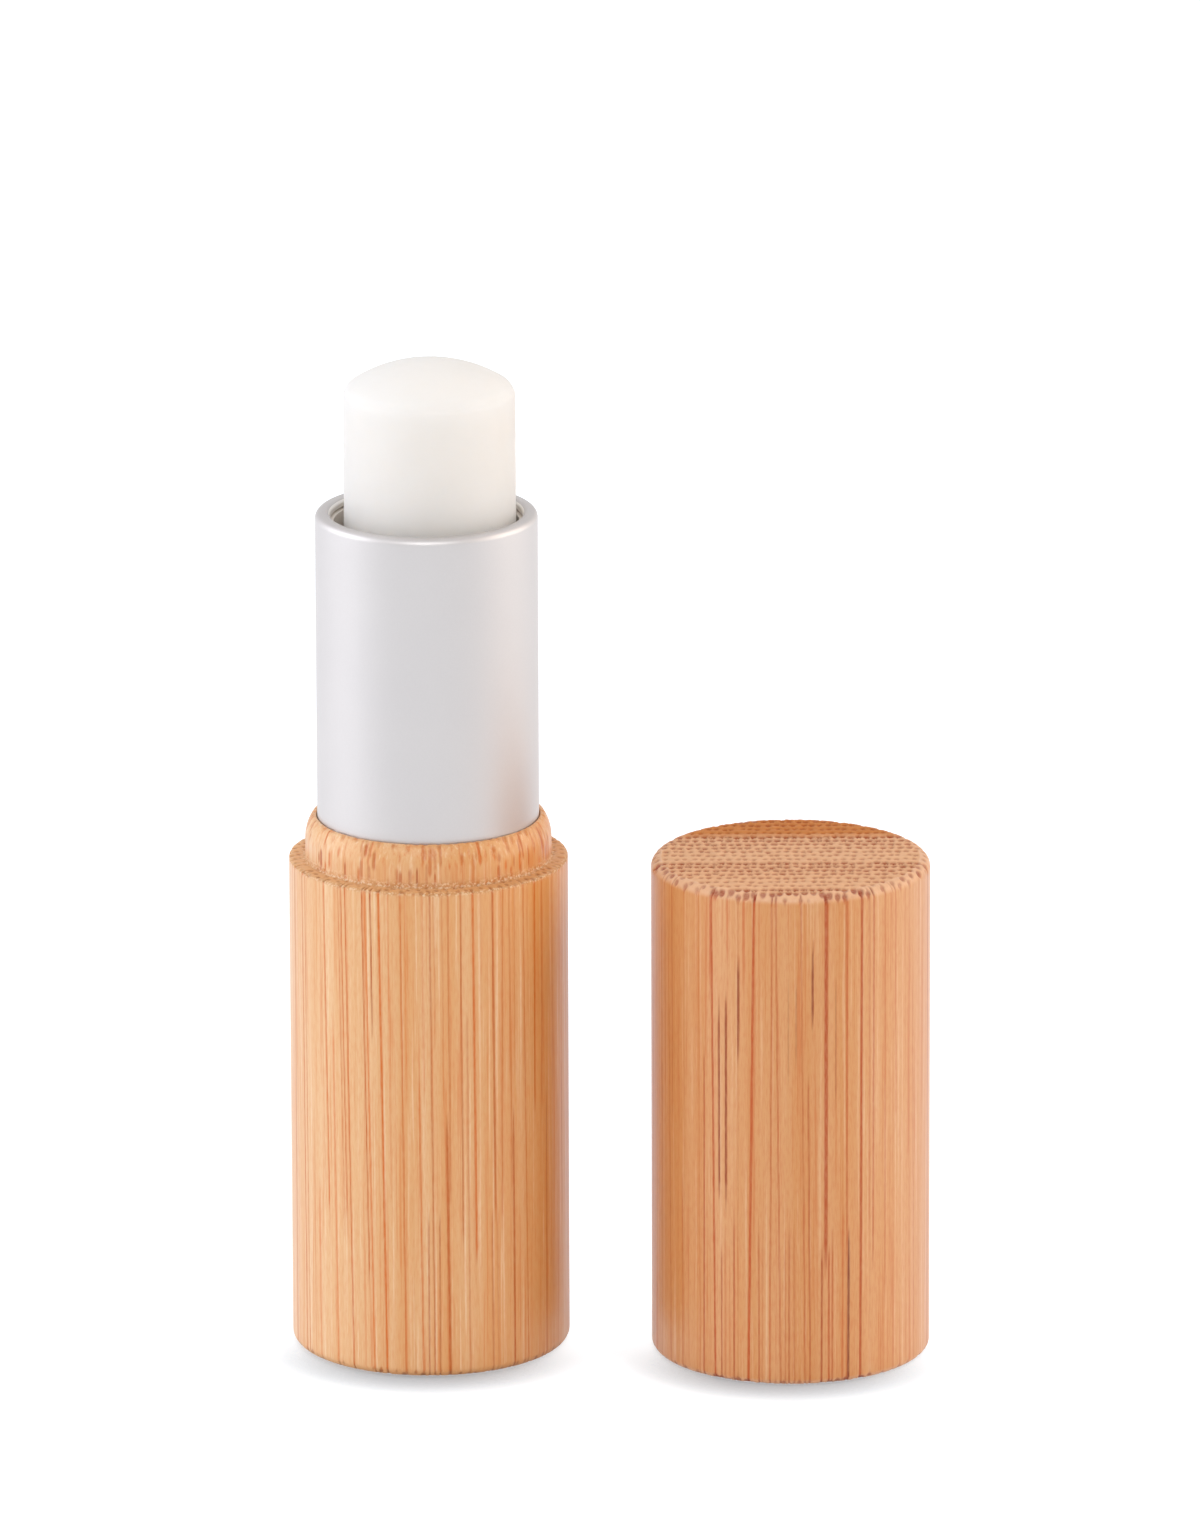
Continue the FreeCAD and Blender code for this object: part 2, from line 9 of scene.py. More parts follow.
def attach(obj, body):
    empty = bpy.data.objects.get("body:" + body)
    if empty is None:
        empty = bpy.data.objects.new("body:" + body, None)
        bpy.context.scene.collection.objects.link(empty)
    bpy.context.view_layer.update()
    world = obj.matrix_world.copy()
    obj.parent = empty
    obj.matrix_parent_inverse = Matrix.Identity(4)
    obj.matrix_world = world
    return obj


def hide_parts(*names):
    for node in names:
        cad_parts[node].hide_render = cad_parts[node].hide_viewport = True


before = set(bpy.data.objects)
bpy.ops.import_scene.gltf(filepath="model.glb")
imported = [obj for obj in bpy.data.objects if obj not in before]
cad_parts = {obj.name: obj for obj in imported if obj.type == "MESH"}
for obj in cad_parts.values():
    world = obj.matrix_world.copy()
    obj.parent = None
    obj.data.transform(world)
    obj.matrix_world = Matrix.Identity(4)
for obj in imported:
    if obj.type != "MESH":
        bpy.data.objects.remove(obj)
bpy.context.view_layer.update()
scene = bpy.context.scene
mm = 0.001
fullTurn = 2 * math.pi
print("frame loaded:", ", ".join(sorted(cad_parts)))


def linear(hexColour):
    # sRGB hex to the linear colour that the shaders work in
    levels = [int(hexColour[i:i + 2], 16) / 255 for i in (1, 3, 5)]
    return [c / 12.92 if c <= 0.04045 else ((c + 0.055) / 1.055) ** 2.4 for c in levels] + [1.0]


def addNode(tree, kind, links=None, **settings):
    # Adds a node: settings are its properties, links are socket values or other nodes' outputs
    made = tree.nodes.new(kind)
    for name, value in settings.items():
        setattr(made, name, value)
    for socket, value in (links or {}).items():
        if isinstance(value, bpy.types.NodeSocket):
            tree.links.new(value, made.inputs[socket])
        else:
            made.inputs[socket].default_value = value
    return made


def newMaterial(name):
    material = bpy.data.materials.new(name)
    material.use_nodes = True
    material.node_tree.nodes.clear()
    return material, material.node_tree


def showShader(tree, shader):
    addNode(tree, "ShaderNodeOutputMaterial", {"Surface": shader.outputs[0]})


# Values that change gradually

def between(pair, share):
    return pair[0] + (pair[1] - pair[0]) * share


def smooth(x):
    x = np.clip(x, 0, 1)
    return x * x * (3 - 2 * x)


def fadeOut(x, edge):
    # 1 well inside edge[0], 0 from there outwards, softened over edge[1]
    return smooth((edge[0] - x) / edge[1])


def ripple(rng, count, width):
    # Smooth random ring of values, about -1 to 1, with bumps that are width steps wide
    steps = np.minimum(np.arange(count), count - np.arange(count))
    spread = np.exp(-0.5 * (steps / width) ** 2)
    ring = np.fft.ifft(np.fft.fft(rng.normal(size=count)) * np.fft.fft(spread)).real
    return ring / np.abs(ring).max()


# Turned shapes: rows of (radius, height) in mm are spun round an upright axis

def straight(start, end, count):
    return [(start[0] + (end[0] - start[0]) * i / count, start[1] + (end[1] - start[1]) * i / count)
            for i in range(count)]


def bend(centre, radius, fromDeg, toDeg, count):
    turns = [math.radians(fromDeg + (toDeg - fromDeg) * i / count) for i in range(count)]
    return [(centre[0] + radius * math.cos(t), centre[1] + radius * math.sin(t)) for t in turns]


def turnsRound(segments):
    return np.linspace(0, fullTurn, segments, endpoint=False)


def spinRows(rows, segments):
    # Points of every row, as an array [row, segment, xyz], in mm round the piece's own axis
    turn = turnsRound(segments)
    r = np.array([row[0] for row in rows])[:, None]
    z = np.array([row[1] for row in rows])[:, None]
    return np.stack([r * np.cos(turn), r * np.sin(turn), z + 0 * turn], 2)


def rowNormals(rows):
    # Outward direction (radial, upward) of each row; rows run up the outside of the piece
    run = np.gradient(np.array(rows), axis=0)
    run /= np.linalg.norm(run, axis=1)[:, None]
    return np.stack([run[:, 1], -run[:, 0]], 1)


def sinkRow(points, i, normal, sink):
    length = np.hypot(points[i, :, 0], points[i, :, 1])
    points[i, :, :2] *= (1 - sink * normal[0] / length)[:, None]
    points[i, :, 2] -= sink * normal[1]


def bandFaces(rowCount, segments, closed=False):
    i = np.arange(rowCount if closed else rowCount - 1)[:, None]
    j = np.arange(segments)[None]
    low, high = i * segments, ((i + 1) % rowCount) * segments
    nextJ = (j + 1) % segments
    quads = np.stack([low + j, low + nextJ, high + nextJ, high + j], 2)
    return quads.reshape(-1, 4).tolist()


def fanFaces(ringStart, segments, centre, upward):
    ring = [ringStart + j for j in range(segments)]
    pairs = zip(ring, ring[1:] + ring[:1])
    return [(centre, a, b) if upward else (centre, b, a) for a, b in pairs]


def makePiece(name, points, faces, axis, materials, attributes=None, second=()):
    # Faces from second[0] up to second[1] get the second material
    mesh = bpy.data.meshes.new(name)
    placed = (np.asarray(points) + np.array([axis[0], axis[1], 0])) * mm
    mesh.from_pydata(placed.tolist(), [], faces)
    mesh.polygons.foreach_set("use_smooth", np.ones(len(mesh.polygons), bool))
    for label, values in (attributes or {}).items():
        layer = mesh.attributes.new(label, "FLOAT", "POINT")
        layer.data.foreach_set("value", np.asarray(values, np.float32))
    mesh.update()
    piece = bpy.data.objects.new(name, mesh)
    scene.collection.objects.link(piece)
    for material in materials:
        mesh.materials.append(material)
    if second:
        index = np.zeros(len(faces), np.int32)
        index[second[0]:second[1]] = 1
        mesh.polygons.foreach_set("material_index", index)
    return piece


# Bamboo strips: vascular bundles run up through the wood, so one set of bundles gives the dots on
# the end grain, the notches on the edges and the lines down the sides

bambooGrowth = {
    # Rows of bundles, in mm: length, room at a strip's two sides and past the edge, stray from a row
    "rowLength": 23, "denseRoom": 0.3, "openRoom": 0.1, "edgeRoom": 0.25, "rowStray": 0.07,
    # From a strip's dense side to its open side: stray along the row in mm, size and darkness
    "stray": (0.03, 0.09), "size": (1.08, 0.72), "dark": (1.0, 0.5),
    "sizeSpread": (0.85, 1.12), "darkSpread": (0.7, 1.0), "swayRate": (0.06, 0.2),
    # How strongly a bundle shows along a side, for the strong few and the rest, and how brown
    "strongSide": (0.45, 0.9), "weakSide": (0.04, 0.28), "tone": (0, 0.55),
    "frontDepth": -1.0,   # mm; bundles nearer the viewer than this are on the front
    # Where a bundle shows: reach in mm, width along a side, soft edge, how fast it opens at an end
    "reach": 0.9, "sideWidth": 0.3, "edge": (1.15, 0.6), "opening": 2.2,
    "acrossSlope": 1.6,   # slopes past 1 / this count as fully cut across
}


def growBundles(wood):
    g = bambooGrowth
    rng = np.random.default_rng(wood["seed"])
    found = []
    edges = wood["stripEdges"]
    for back, front in zip(edges[:-1], edges[1:]):
        row, odd = back - g["denseRoom"], 0
        while row > front + g["openRoom"]:
            share = (back - row) / (back - front)   # 0 at the dense side, 1 at the open side
            pitch = between(wood["pitch"], share)
            count = int(g["rowLength"] / pitch)
            across = (np.arange(count) - count / 2 + odd * 0.5) * pitch
            across += rng.normal(0, between(g["stray"], share), count)
            along = row + rng.normal(0, g["rowStray"], count)
            size = between(g["size"], share) * rng.uniform(*g["sizeSpread"], count)
            dark = between(g["dark"], share) * rng.uniform(*g["darkSpread"], count)
            for x, y, s, d in zip(across, along, size, dark):
                if math.hypot(x, y) < wood["radius"] + g["edgeRoom"]:
                    found.append((x, y, s * wood["dot"][0] / 2, s * wood["dot"][1] / 2, d))
            row -= between(wood["rowGap"], share)
            odd = 1 - odd
    x, y, wide, deep, dark = np.array(found).T
    count = len(x)
    sway = rng.normal(0, wood["sway"], (2, count))
    rate = rng.uniform(*g["swayRate"], (2, count))
    phase = rng.uniform(0, fullTurn, (2, count))
    strong = rng.random(count) < wood["strongShare"]
    strongSide, weakSide = (rng.uniform(*g[key], count) for key in ("strongSide", "weakSide"))
    side = np.where(strong, strongSide, weakSide)
    tone = rng.uniform(*g["tone"], count)
    # On the front, lines drawn from the photograph take the place of strong grown ones
    turn = math.radians(wood["stripTurn"])
    front = x * math.sin(turn) + y * math.cos(turn) < g["frontDepth"]
    side = np.where(front, np.minimum(side, wood["frontSide"]), side)
    return {"x": x, "y": y, "wide": wide, "deep": deep, "dark": dark, "sway": sway, "rate": rate,
            "phase": phase, "side": side, "tone": tone}


def bundleCentres(bundles, z):
    # Bundles sway a little on their way up
    wander = bundles["sway"] * np.sin(z * bundles["rate"] + bundles["phase"])
    return bundles["x"] + wander[0], bundles["y"] + wander[1]


def bundlesAt(wood, bundles, x, y, z, ends):
    # How strongly bundles show at points (x, y) of one height, and how brown they are there.
    # ends is 1 where the wood is cut across the fibres and 0 where it is cut along them.
    g = bambooGrowth
    turn = math.radians(wood["stripTurn"])
    px = x * math.cos(turn) + y * math.sin(turn)
    py = -x * math.sin(turn) + y * math.cos(turn)
    bx, by = bundleCentres(bundles, z)
    near = np.abs(np.hypot(bx, by) - np.hypot(px, py).mean()) < g["reach"]
    if not near.any():
        return np.zeros(len(x)), np.zeros(len(x))
    # A bundle is a thin line along a side, and over an edge it opens in a V to the pore on the end
    width = between((g["sideWidth"], 1), ends)
    gap = np.hypot((px[:, None] - bx[near]) / (bundles["wide"][near] * width),
                   (py[:, None] - by[near]) / (bundles["deep"][near] * width))
    gain = between((bundles["side"], 1), smooth(g["opening"] * ends))
    shown = fadeOut(gap, g["edge"]) * (bundles["dark"] * gain)[near]
    best = shown.argmax(1)
    return shown.max(1), bundles["tone"][near][best]


lineStyle = {
    # Soft edge and width at a tapered end, as shares of half a line's width
    "edge": (1.3, 0.7), "tip": 0.4,
    "inset": 0.8, "insetFade": 0.5,   # mm in from the outside, where lines end
    # Grown lines round the back: turns in radians, lengths in mm
    "overlap": 0.36, "turnSpread": 0.012, "height": 36, "longShare": 0.6, "long": 99,
    "short": (3, 12), "width": (0.12, 0.2), "strength": (0.2, 1.0), "tone": (0, 0.45),
    "seedStep": 40,
}


def scatterLines(rng, at, middle, half, style):
    # Lines at random round these turns and heights, in the order that linesAt reads
    count = len(at)
    lean = rng.normal(0, style["turnSpread"], count)
    width, strength, tone = (rng.uniform(*style[key], count)
                             for key in ("width", "strength", "tone"))
    return np.stack([at, at + lean, width, strength, tone, middle - half, middle + half], 1)


def sideLines(wood):
    # Lines on the front, from distances across to turns round the axis, and grown ones behind
    g = lineStyle
    drawn = np.array(wood["lines"])
    turns = np.arcsin(drawn[:, :2] / wood["radius"]) - math.pi / 2
    rng = np.random.default_rng(wood["seed"] + g["seedStep"])
    count = wood["backLines"]
    at = rng.uniform(-g["overlap"], math.pi + g["overlap"], count)
    middle = rng.uniform(0, g["height"], count)
    half = np.where(rng.random(count) < g["longShare"], g["long"], rng.uniform(*g["short"], count))
    grown = scatterLines(rng, at, middle, half, g)
    return np.concatenate([np.concatenate([turns, drawn[:, 2:]], 1), grown])


def linesAt(lines, span, turn, r, z):
    # How strongly lines show at turns round the axis. Each line has its turn at the top and at the
    # foot of the span, its width in mm, strength, tone, lowest and highest mm.
    foot, top, fade = span
    atTop, atFoot, width, strength, tone, low, high = lines.T
    at = atFoot + (atTop - atFoot) * (z - foot) / (top - foot)
    taper = smooth((z - low) / fade) * smooth((high - z) / fade)
    away = np.abs((turn[:, None] - at + math.pi) % fullTurn - math.pi) * r
    half = width / 2 * between((lineStyle["tip"], 1), taper)
    shown = fadeOut(away / half, lineStyle["edge"]) * strength * taper
    best = shown.argmax(1)
    return shown.max(1), tone[best]


woodValues = ("fibre", "fibreTone", "endGrain", "torn")   # attributes of the wood's points


def drawOver(values, i, line, lineTone):
    # Lines cover the bundles that are weaker
    fibre, tone = values["fibre"], values["fibreTone"]
    tone[i] = np.where(line > fibre[i], lineTone, tone[i])
    fibre[i] = np.maximum(fibre[i], line)


def woodRows(wood, bundles, rows):
    # Spins the rows and sinks bundles and lines into the surface; returns points and their values
    points = spinRows(rows, wood["segments"])
    normals = rowNormals(rows)
    turn = turnsRound(wood["segments"])
    lines = sideLines(wood)
    values = {label: np.zeros(points.shape[:2]) for label in woodValues}
    for i, (r, z) in enumerate(rows):
        flat = smooth(abs(normals[i][1]) * bambooGrowth["acrossSlope"])
        height, reach, depth = min(wood["edges"], key=lambda edge: abs(z - edge[0]))
        cut = max(flat, 1 - abs(z - height) / reach, 0)
        x, y, _ = points[i].T
        values["fibre"][i], values["fibreTone"][i] = bundlesAt(wood, bundles, x, y, z, cut)
        line, lineTone = linesAt(lines, wood["lineSpan"], turn, r, z)
        line *= smooth((r - wood["radius"] + lineStyle["inset"]) / lineStyle["insetFade"])
        drawOver(values, i, line, lineTone)
        values["endGrain"][i] = flat
        sink = wood["sideSink"] + wood["endSink"] * cut * depth
        sinkRow(points, i, normals[i], values["fibre"][i] * sink)
    return points, values


poreShape = {
    # Rings of a pore: share of its size, and of its depth, which is below 0 on a raised rim
    "rings": ((0.0, 1.0), (0.7, 0.95), (1.0, 0.25), (1.22, -0.2)),
    "sides": 9, "wobble": (0.85, 1.12), "seedStep": 90, "room": 0.05,   # mm clear of the edge
}


def endFace(wood, bundles, ring, height, upward, firstIndex, ringStart):
    # Closes a ring with end grain: each bundle is a small pit, and triangles join the pits up.
    # Pits have a raised rim, but not on a foot, which has to stand flat.
    g = poreShape
    turn = math.radians(wood["stripTurn"])
    limit = np.hypot(ring[:, 0], ring[:, 1]).min() - g["room"]
    spots, pores = [], []
    rng = np.random.default_rng(wood["seed"] + g["seedStep"])
    centres = bundleCentres(bundles, height)
    for cx, cy, wide, deep, dark, tone in zip(*centres, *(bundles[key] for key in
                                                          ("wide", "deep", "dark", "tone"))):
        for share, level in g["rings"]:
            sides = 1 if share == 0 else g["sides"]
            wobble = rng.uniform(*g["wobble"], sides)
            sunk = (level if upward else max(level, 0)) * dark * wood["endSink"]
            for side in range(sides):
                a = fullTurn * (side + 0.5 * (share == 1)) / sides
                sx = cx + wide * share * wobble[side] * math.cos(a)
                sy = cy + deep * share * wobble[side] * math.sin(a)
                x = sx * math.cos(turn) - sy * math.sin(turn)
                y = sx * math.sin(turn) + sy * math.cos(turn)
                if math.hypot(x, y) < limit:
                    spots.append((x, y))
                    pores.append((sunk, max(level, 0) * dark, tone))
    count = len(ring)
    flat = [Vector(p) for p in ring[:, :2].tolist()] + [Vector(p) for p in spots]
    loop = [(i, (i + 1) % count) for i in range(count)]
    inside, tolerance = 1, 1e-6   # keep only the triangles inside the ring
    made, _, faces, came, _, _ = delaunay_2d_cdt(flat, loop, [], inside, tolerance)
    index, points, fibres, tones = {}, [], [], []
    for new, old in enumerate(came):
        if old and old[0] < count:
            index[new] = ringStart + old[0]
            continue
        sunk, fibre, tone = pores[old[0] - count] if old else (0, 0, 0)
        index[new] = firstIndex + len(points)
        points.append((*made[new], height - sunk if upward else height + sunk))
        fibres.append(fibre)
        tones.append(tone)
    corners = []
    for face in faces:
        a, b, c = (made[i] for i in face)
        anticlockwise = (b - a).cross(c - a) > 0
        ids = [index[i] for i in face]
        corners.append(ids if anticlockwise == upward else ids[::-1])
    return points, corners, fibres, tones


bambooGrain = {
    "stretch": 0.012, "hairStretch": 0.13,   # change along the fibres, as a share of that across
    "rampHalf": 15.0,   # mm that the strips' colour ramp reaches to either side of the axis
    "endShare": 0.8, "tornShare": 0.75, "endRoughness": 0.75, "relief": 0.3, "reliefMm": 0.02,
    "ior": 1.5, "specular": (0.2, 0.4), "coat": (0.0, 0.4), "coatRoughness": 0.3,   # bare, sealed
}


def bambooMaterial(name, wood, seal):
    # Turned bamboo, sanded and thinly sealed: straight honey-coloured fibres with orange bundle
    # lines, a low satin sheen along the sealed sides, and drier, browner pores on the cut ends
    g, look = bambooGrain, wood["look"]
    turn = math.radians(wood["stripTurn"])
    material, tree = newMaterial(name)
    spots = {"place": addNode(tree, "ShaderNodeTexCoord").outputs["Object"]}
    for label, start, operation, by in (
            ("inMm", "place", "MULTIPLY", (1 / mm,) * 3),
            ("local", "inMm", "ADD", (-wood["axis"][0], -wood["axis"][1], 0)),
            ("moved", "inMm", "ADD", look["offset"]),
            ("long", "moved", "MULTIPLY", (1, 1, g["stretch"])),
            ("short", "moved", "MULTIPLY", (1, 1, g["hairStretch"]))):
        spots[label] = addNode(tree, "ShaderNodeVectorMath", {0: spots[start], 1: by},
                               operation=operation).outputs[0]
    patterns = {label: addNode(tree, "ShaderNodeAttribute", attribute_name=label).outputs["Fac"]
                for label in woodValues}
    # Real fibres are about 0.02 mm thick; the hairs are drawn at 0.1 mm so that they show
    for label, spot, size, detail, roughness in (
            ("bands", "long", look["bandMm"], 2.0, 0.6),
            ("fibres", "long", look["fibreMm"], 3.0, 0.6),
            ("hairs", "short", look["hairMm"], 2.0, 0.5),
            ("specks", "moved", look["fuzzMm"], 2.0, 0.5)):
        noise = addNode(tree, "ShaderNodeTexNoise", {"Vector": spots[spot], "Scale": 1 / size,
                                                     "Detail": detail, "Roughness": roughness})
        patterns[label] = noise.outputs["Fac"]

    # Glued strips differ in depth of colour, and the drift deepens the colour slowly from one side
    # to the other
    # The drift is painted light and shade: paler towards the left lamp, deeper on the side away from
    # it
    acrossStrips = (-math.sin(turn), math.cos(turn), 0)
    across, paintedShadeDrift = (addNode(tree, "ShaderNodeVectorMath", {0: spots["local"], 1: way},
                             operation="DOT_PRODUCT").outputs["Value"]
                     for way in (acrossStrips, look["paintedShadeDrift"]))
    half = g["rampHalf"]
    onRamp = addNode(tree, "ShaderNodeMapRange", {"Value": across, "From Min": -half,
                                                  "From Max": half})
    strips = addNode(tree, "ShaderNodeValToRGB", {0: onRamp.outputs[0]})
    elements = strips.color_ramp.elements
    edges, blend = wood["stripEdges"], look["stripBlend"]
    marks = [(side, depth) for front, back, depth in
             zip(edges[:0:-1], edges[-2::-1], look["stripDepth"][::-1])
             for side in (front + blend, back - blend)]
    for step, (side, depth) in enumerate(marks):
        at = (side + half) / (2 * half)
        mark = elements[step] if step < 2 else elements.new(at)   # a new ramp has two marks
        mark.position = at
        mark.color = (depth, depth, depth, 1)

    # How much of each layer shows: its pattern, where that starts and is full, least and most
    shares = {}
    for label, pattern, start, full, least, most in (
            ("bands", "bands", 0.34, 0.66, -0.22, 0.22),
            ("streaks", "fibres", 0.57, 0.65, 0.0, look["streak"]),
            ("paleStreaks", "fibres", 0.44, 0.33, 0.0, look["paleStreak"]),
            ("hairs", "hairs", 0.44, 0.66, 0.0, look["hair"]),
            ("broken", "hairs", 0.3, 0.6, 0.75, 1.0),
            ("fuzz", "specks", 0.46, 0.62, 0.0, 1.0),
            ("sheen", "fibres", 0.3, 0.7, 0.4, 0.54)):
        ranged = addNode(tree, "ShaderNodeMapRange",
                         {"Value": patterns[pattern], "From Min": start, "From Max": full,
                          "To Min": least, "To Max": most})
        shares[label] = ranged.outputs[0]
    # stripDepth also carries the painted shade drift, so the sawn ends get it too
    for label, one, operation, other in (
            ("stripDepth", strips.outputs[0], "ADD", paintedShadeDrift),
            ("ends", patterns["endGrain"], "MULTIPLY", g["endShare"]),
            ("lines", patterns["fibre"], "MULTIPLY", shares["broken"]),
            ("torn", patterns["torn"], "MULTIPLY", g["tornShare"])):
        shares[label] = addNode(tree, "ShaderNodeMath", {0: one, 1: other},
                                operation=operation).outputs[0]
    depthWithPaintedShade = addNode(tree, "ShaderNodeMath", {0: shares["stripDepth"], 1: shares["bands"]},
                       operation="ADD", use_clamp=True)

    # Layers of colour: name, share, and what it goes from and to. A Mix node takes these two in
    # sockets 6 and 7 and gives the result in output 2.
    colours = {label: linear(value) for label, value in look.items() if isinstance(value, str)}
    for label, share, under, over in (
            ("ground", depthWithPaintedShade.outputs[0], "light", "deep"),
            # Fine fibre lines, dark and pale, and the flecks of single fibres
            ("streaked", shares["streaks"], "ground", "line"),
            ("lifted", shares["paleStreaks"], "streaked", "pale"),
            ("flecked", shares["hairs"], "lifted", "line"),
            # Sawn ends: drier, and the outer strip deeper, with the painted shade drift as well
            ("sawnGround", shares["stripDepth"], "end", "endDeep"),
            ("sawn", shares["ends"], "flecked", "sawnGround"),
            # Bundles: lines on the sides and pores on the ends, a little broken up
            ("lineTone", patterns["fibreTone"], "line", "dark"),
            ("bundle", patterns["endGrain"], "lineTone", "pore"),
            ("lined", shares["lines"], "sawn", "bundle"),
            # Torn fibres where the cutter left an edge: pale fuzz with dark gaps
            ("fray", shares["fuzz"], "gap", "fuzz"),
            ("frayed", shares["torn"], "lined", "fray")):
        mixed = addNode(tree, "ShaderNodeMix", {0: share, 6: colours[under], 7: colours[over]},
                        data_type="RGBA")
        colours[label] = mixed.outputs[2]
    dull = addNode(tree, "ShaderNodeMix", {0: patterns["endGrain"], 2: shares["sheen"],
                                           3: g["endRoughness"]})
    relief = addNode(tree, "ShaderNodeBump", {"Height": patterns["hairs"], "Strength": g["relief"],
                                              "Distance": g["reliefMm"] * mm})
    shader = addNode(tree, "ShaderNodeBsdfPrincipled",
                     {"Base Color": colours["frayed"], "Roughness": dull.outputs[0],
                      "Normal": relief.outputs[0], "IOR": g["ior"],
                      "Specular IOR Level": between(g["specular"], seal),
                      "Coat Weight": between(g["coat"], seal),
                      "Coat Roughness": g["coatRoughness"]})
    showShader(tree, shader)
    return material


def finishWood(kind, wood, bundles, points, values, height, upward, blindHeight):
    # Closes a turned shell, with end grain at its sawn end and a flat bottom in its bore
    count, total = wood["segments"], len(points) * wood["segments"]
    firstRing, lastRing = 0, total - count
    sawnRing, blindRing = (lastRing, firstRing) if upward else (firstRing, lastRing)
    faces = bandFaces(len(points), count)
    flat, corners, fibre, tone = endFace(wood, bundles, points[-1 if upward else 0], height, upward,
                                         total, sawnRing)
    sawn = (len(faces), len(faces) + len(corners))
    allPoints = np.concatenate([points.reshape(-1, 3), np.array(flat), [[0, 0, blindHeight]]])
    faces += corners + fanFaces(blindRing, count, len(allPoints) - 1, not upward)
    onEnd = {"fibre": fibre, "fibreTone": tone, "endGrain": np.ones(len(flat)),
             "torn": np.zeros(len(flat))}
    attributes = {label: np.concatenate([values[label].ravel(), onEnd[label], [0]])
                  for label in woodValues}
    finishes = [bambooMaterial("turnedBamboo" + kind, wood, 1),
                bambooMaterial("sawnBamboo" + kind, wood, 0)]
    print(kind.lower(), "turned:", len(faces), "faces,", len(bundles["x"]), "bundles")
    return makePiece("turned" + kind, allPoints, faces, wood["axis"], finishes, attributes, sawn)


# Base

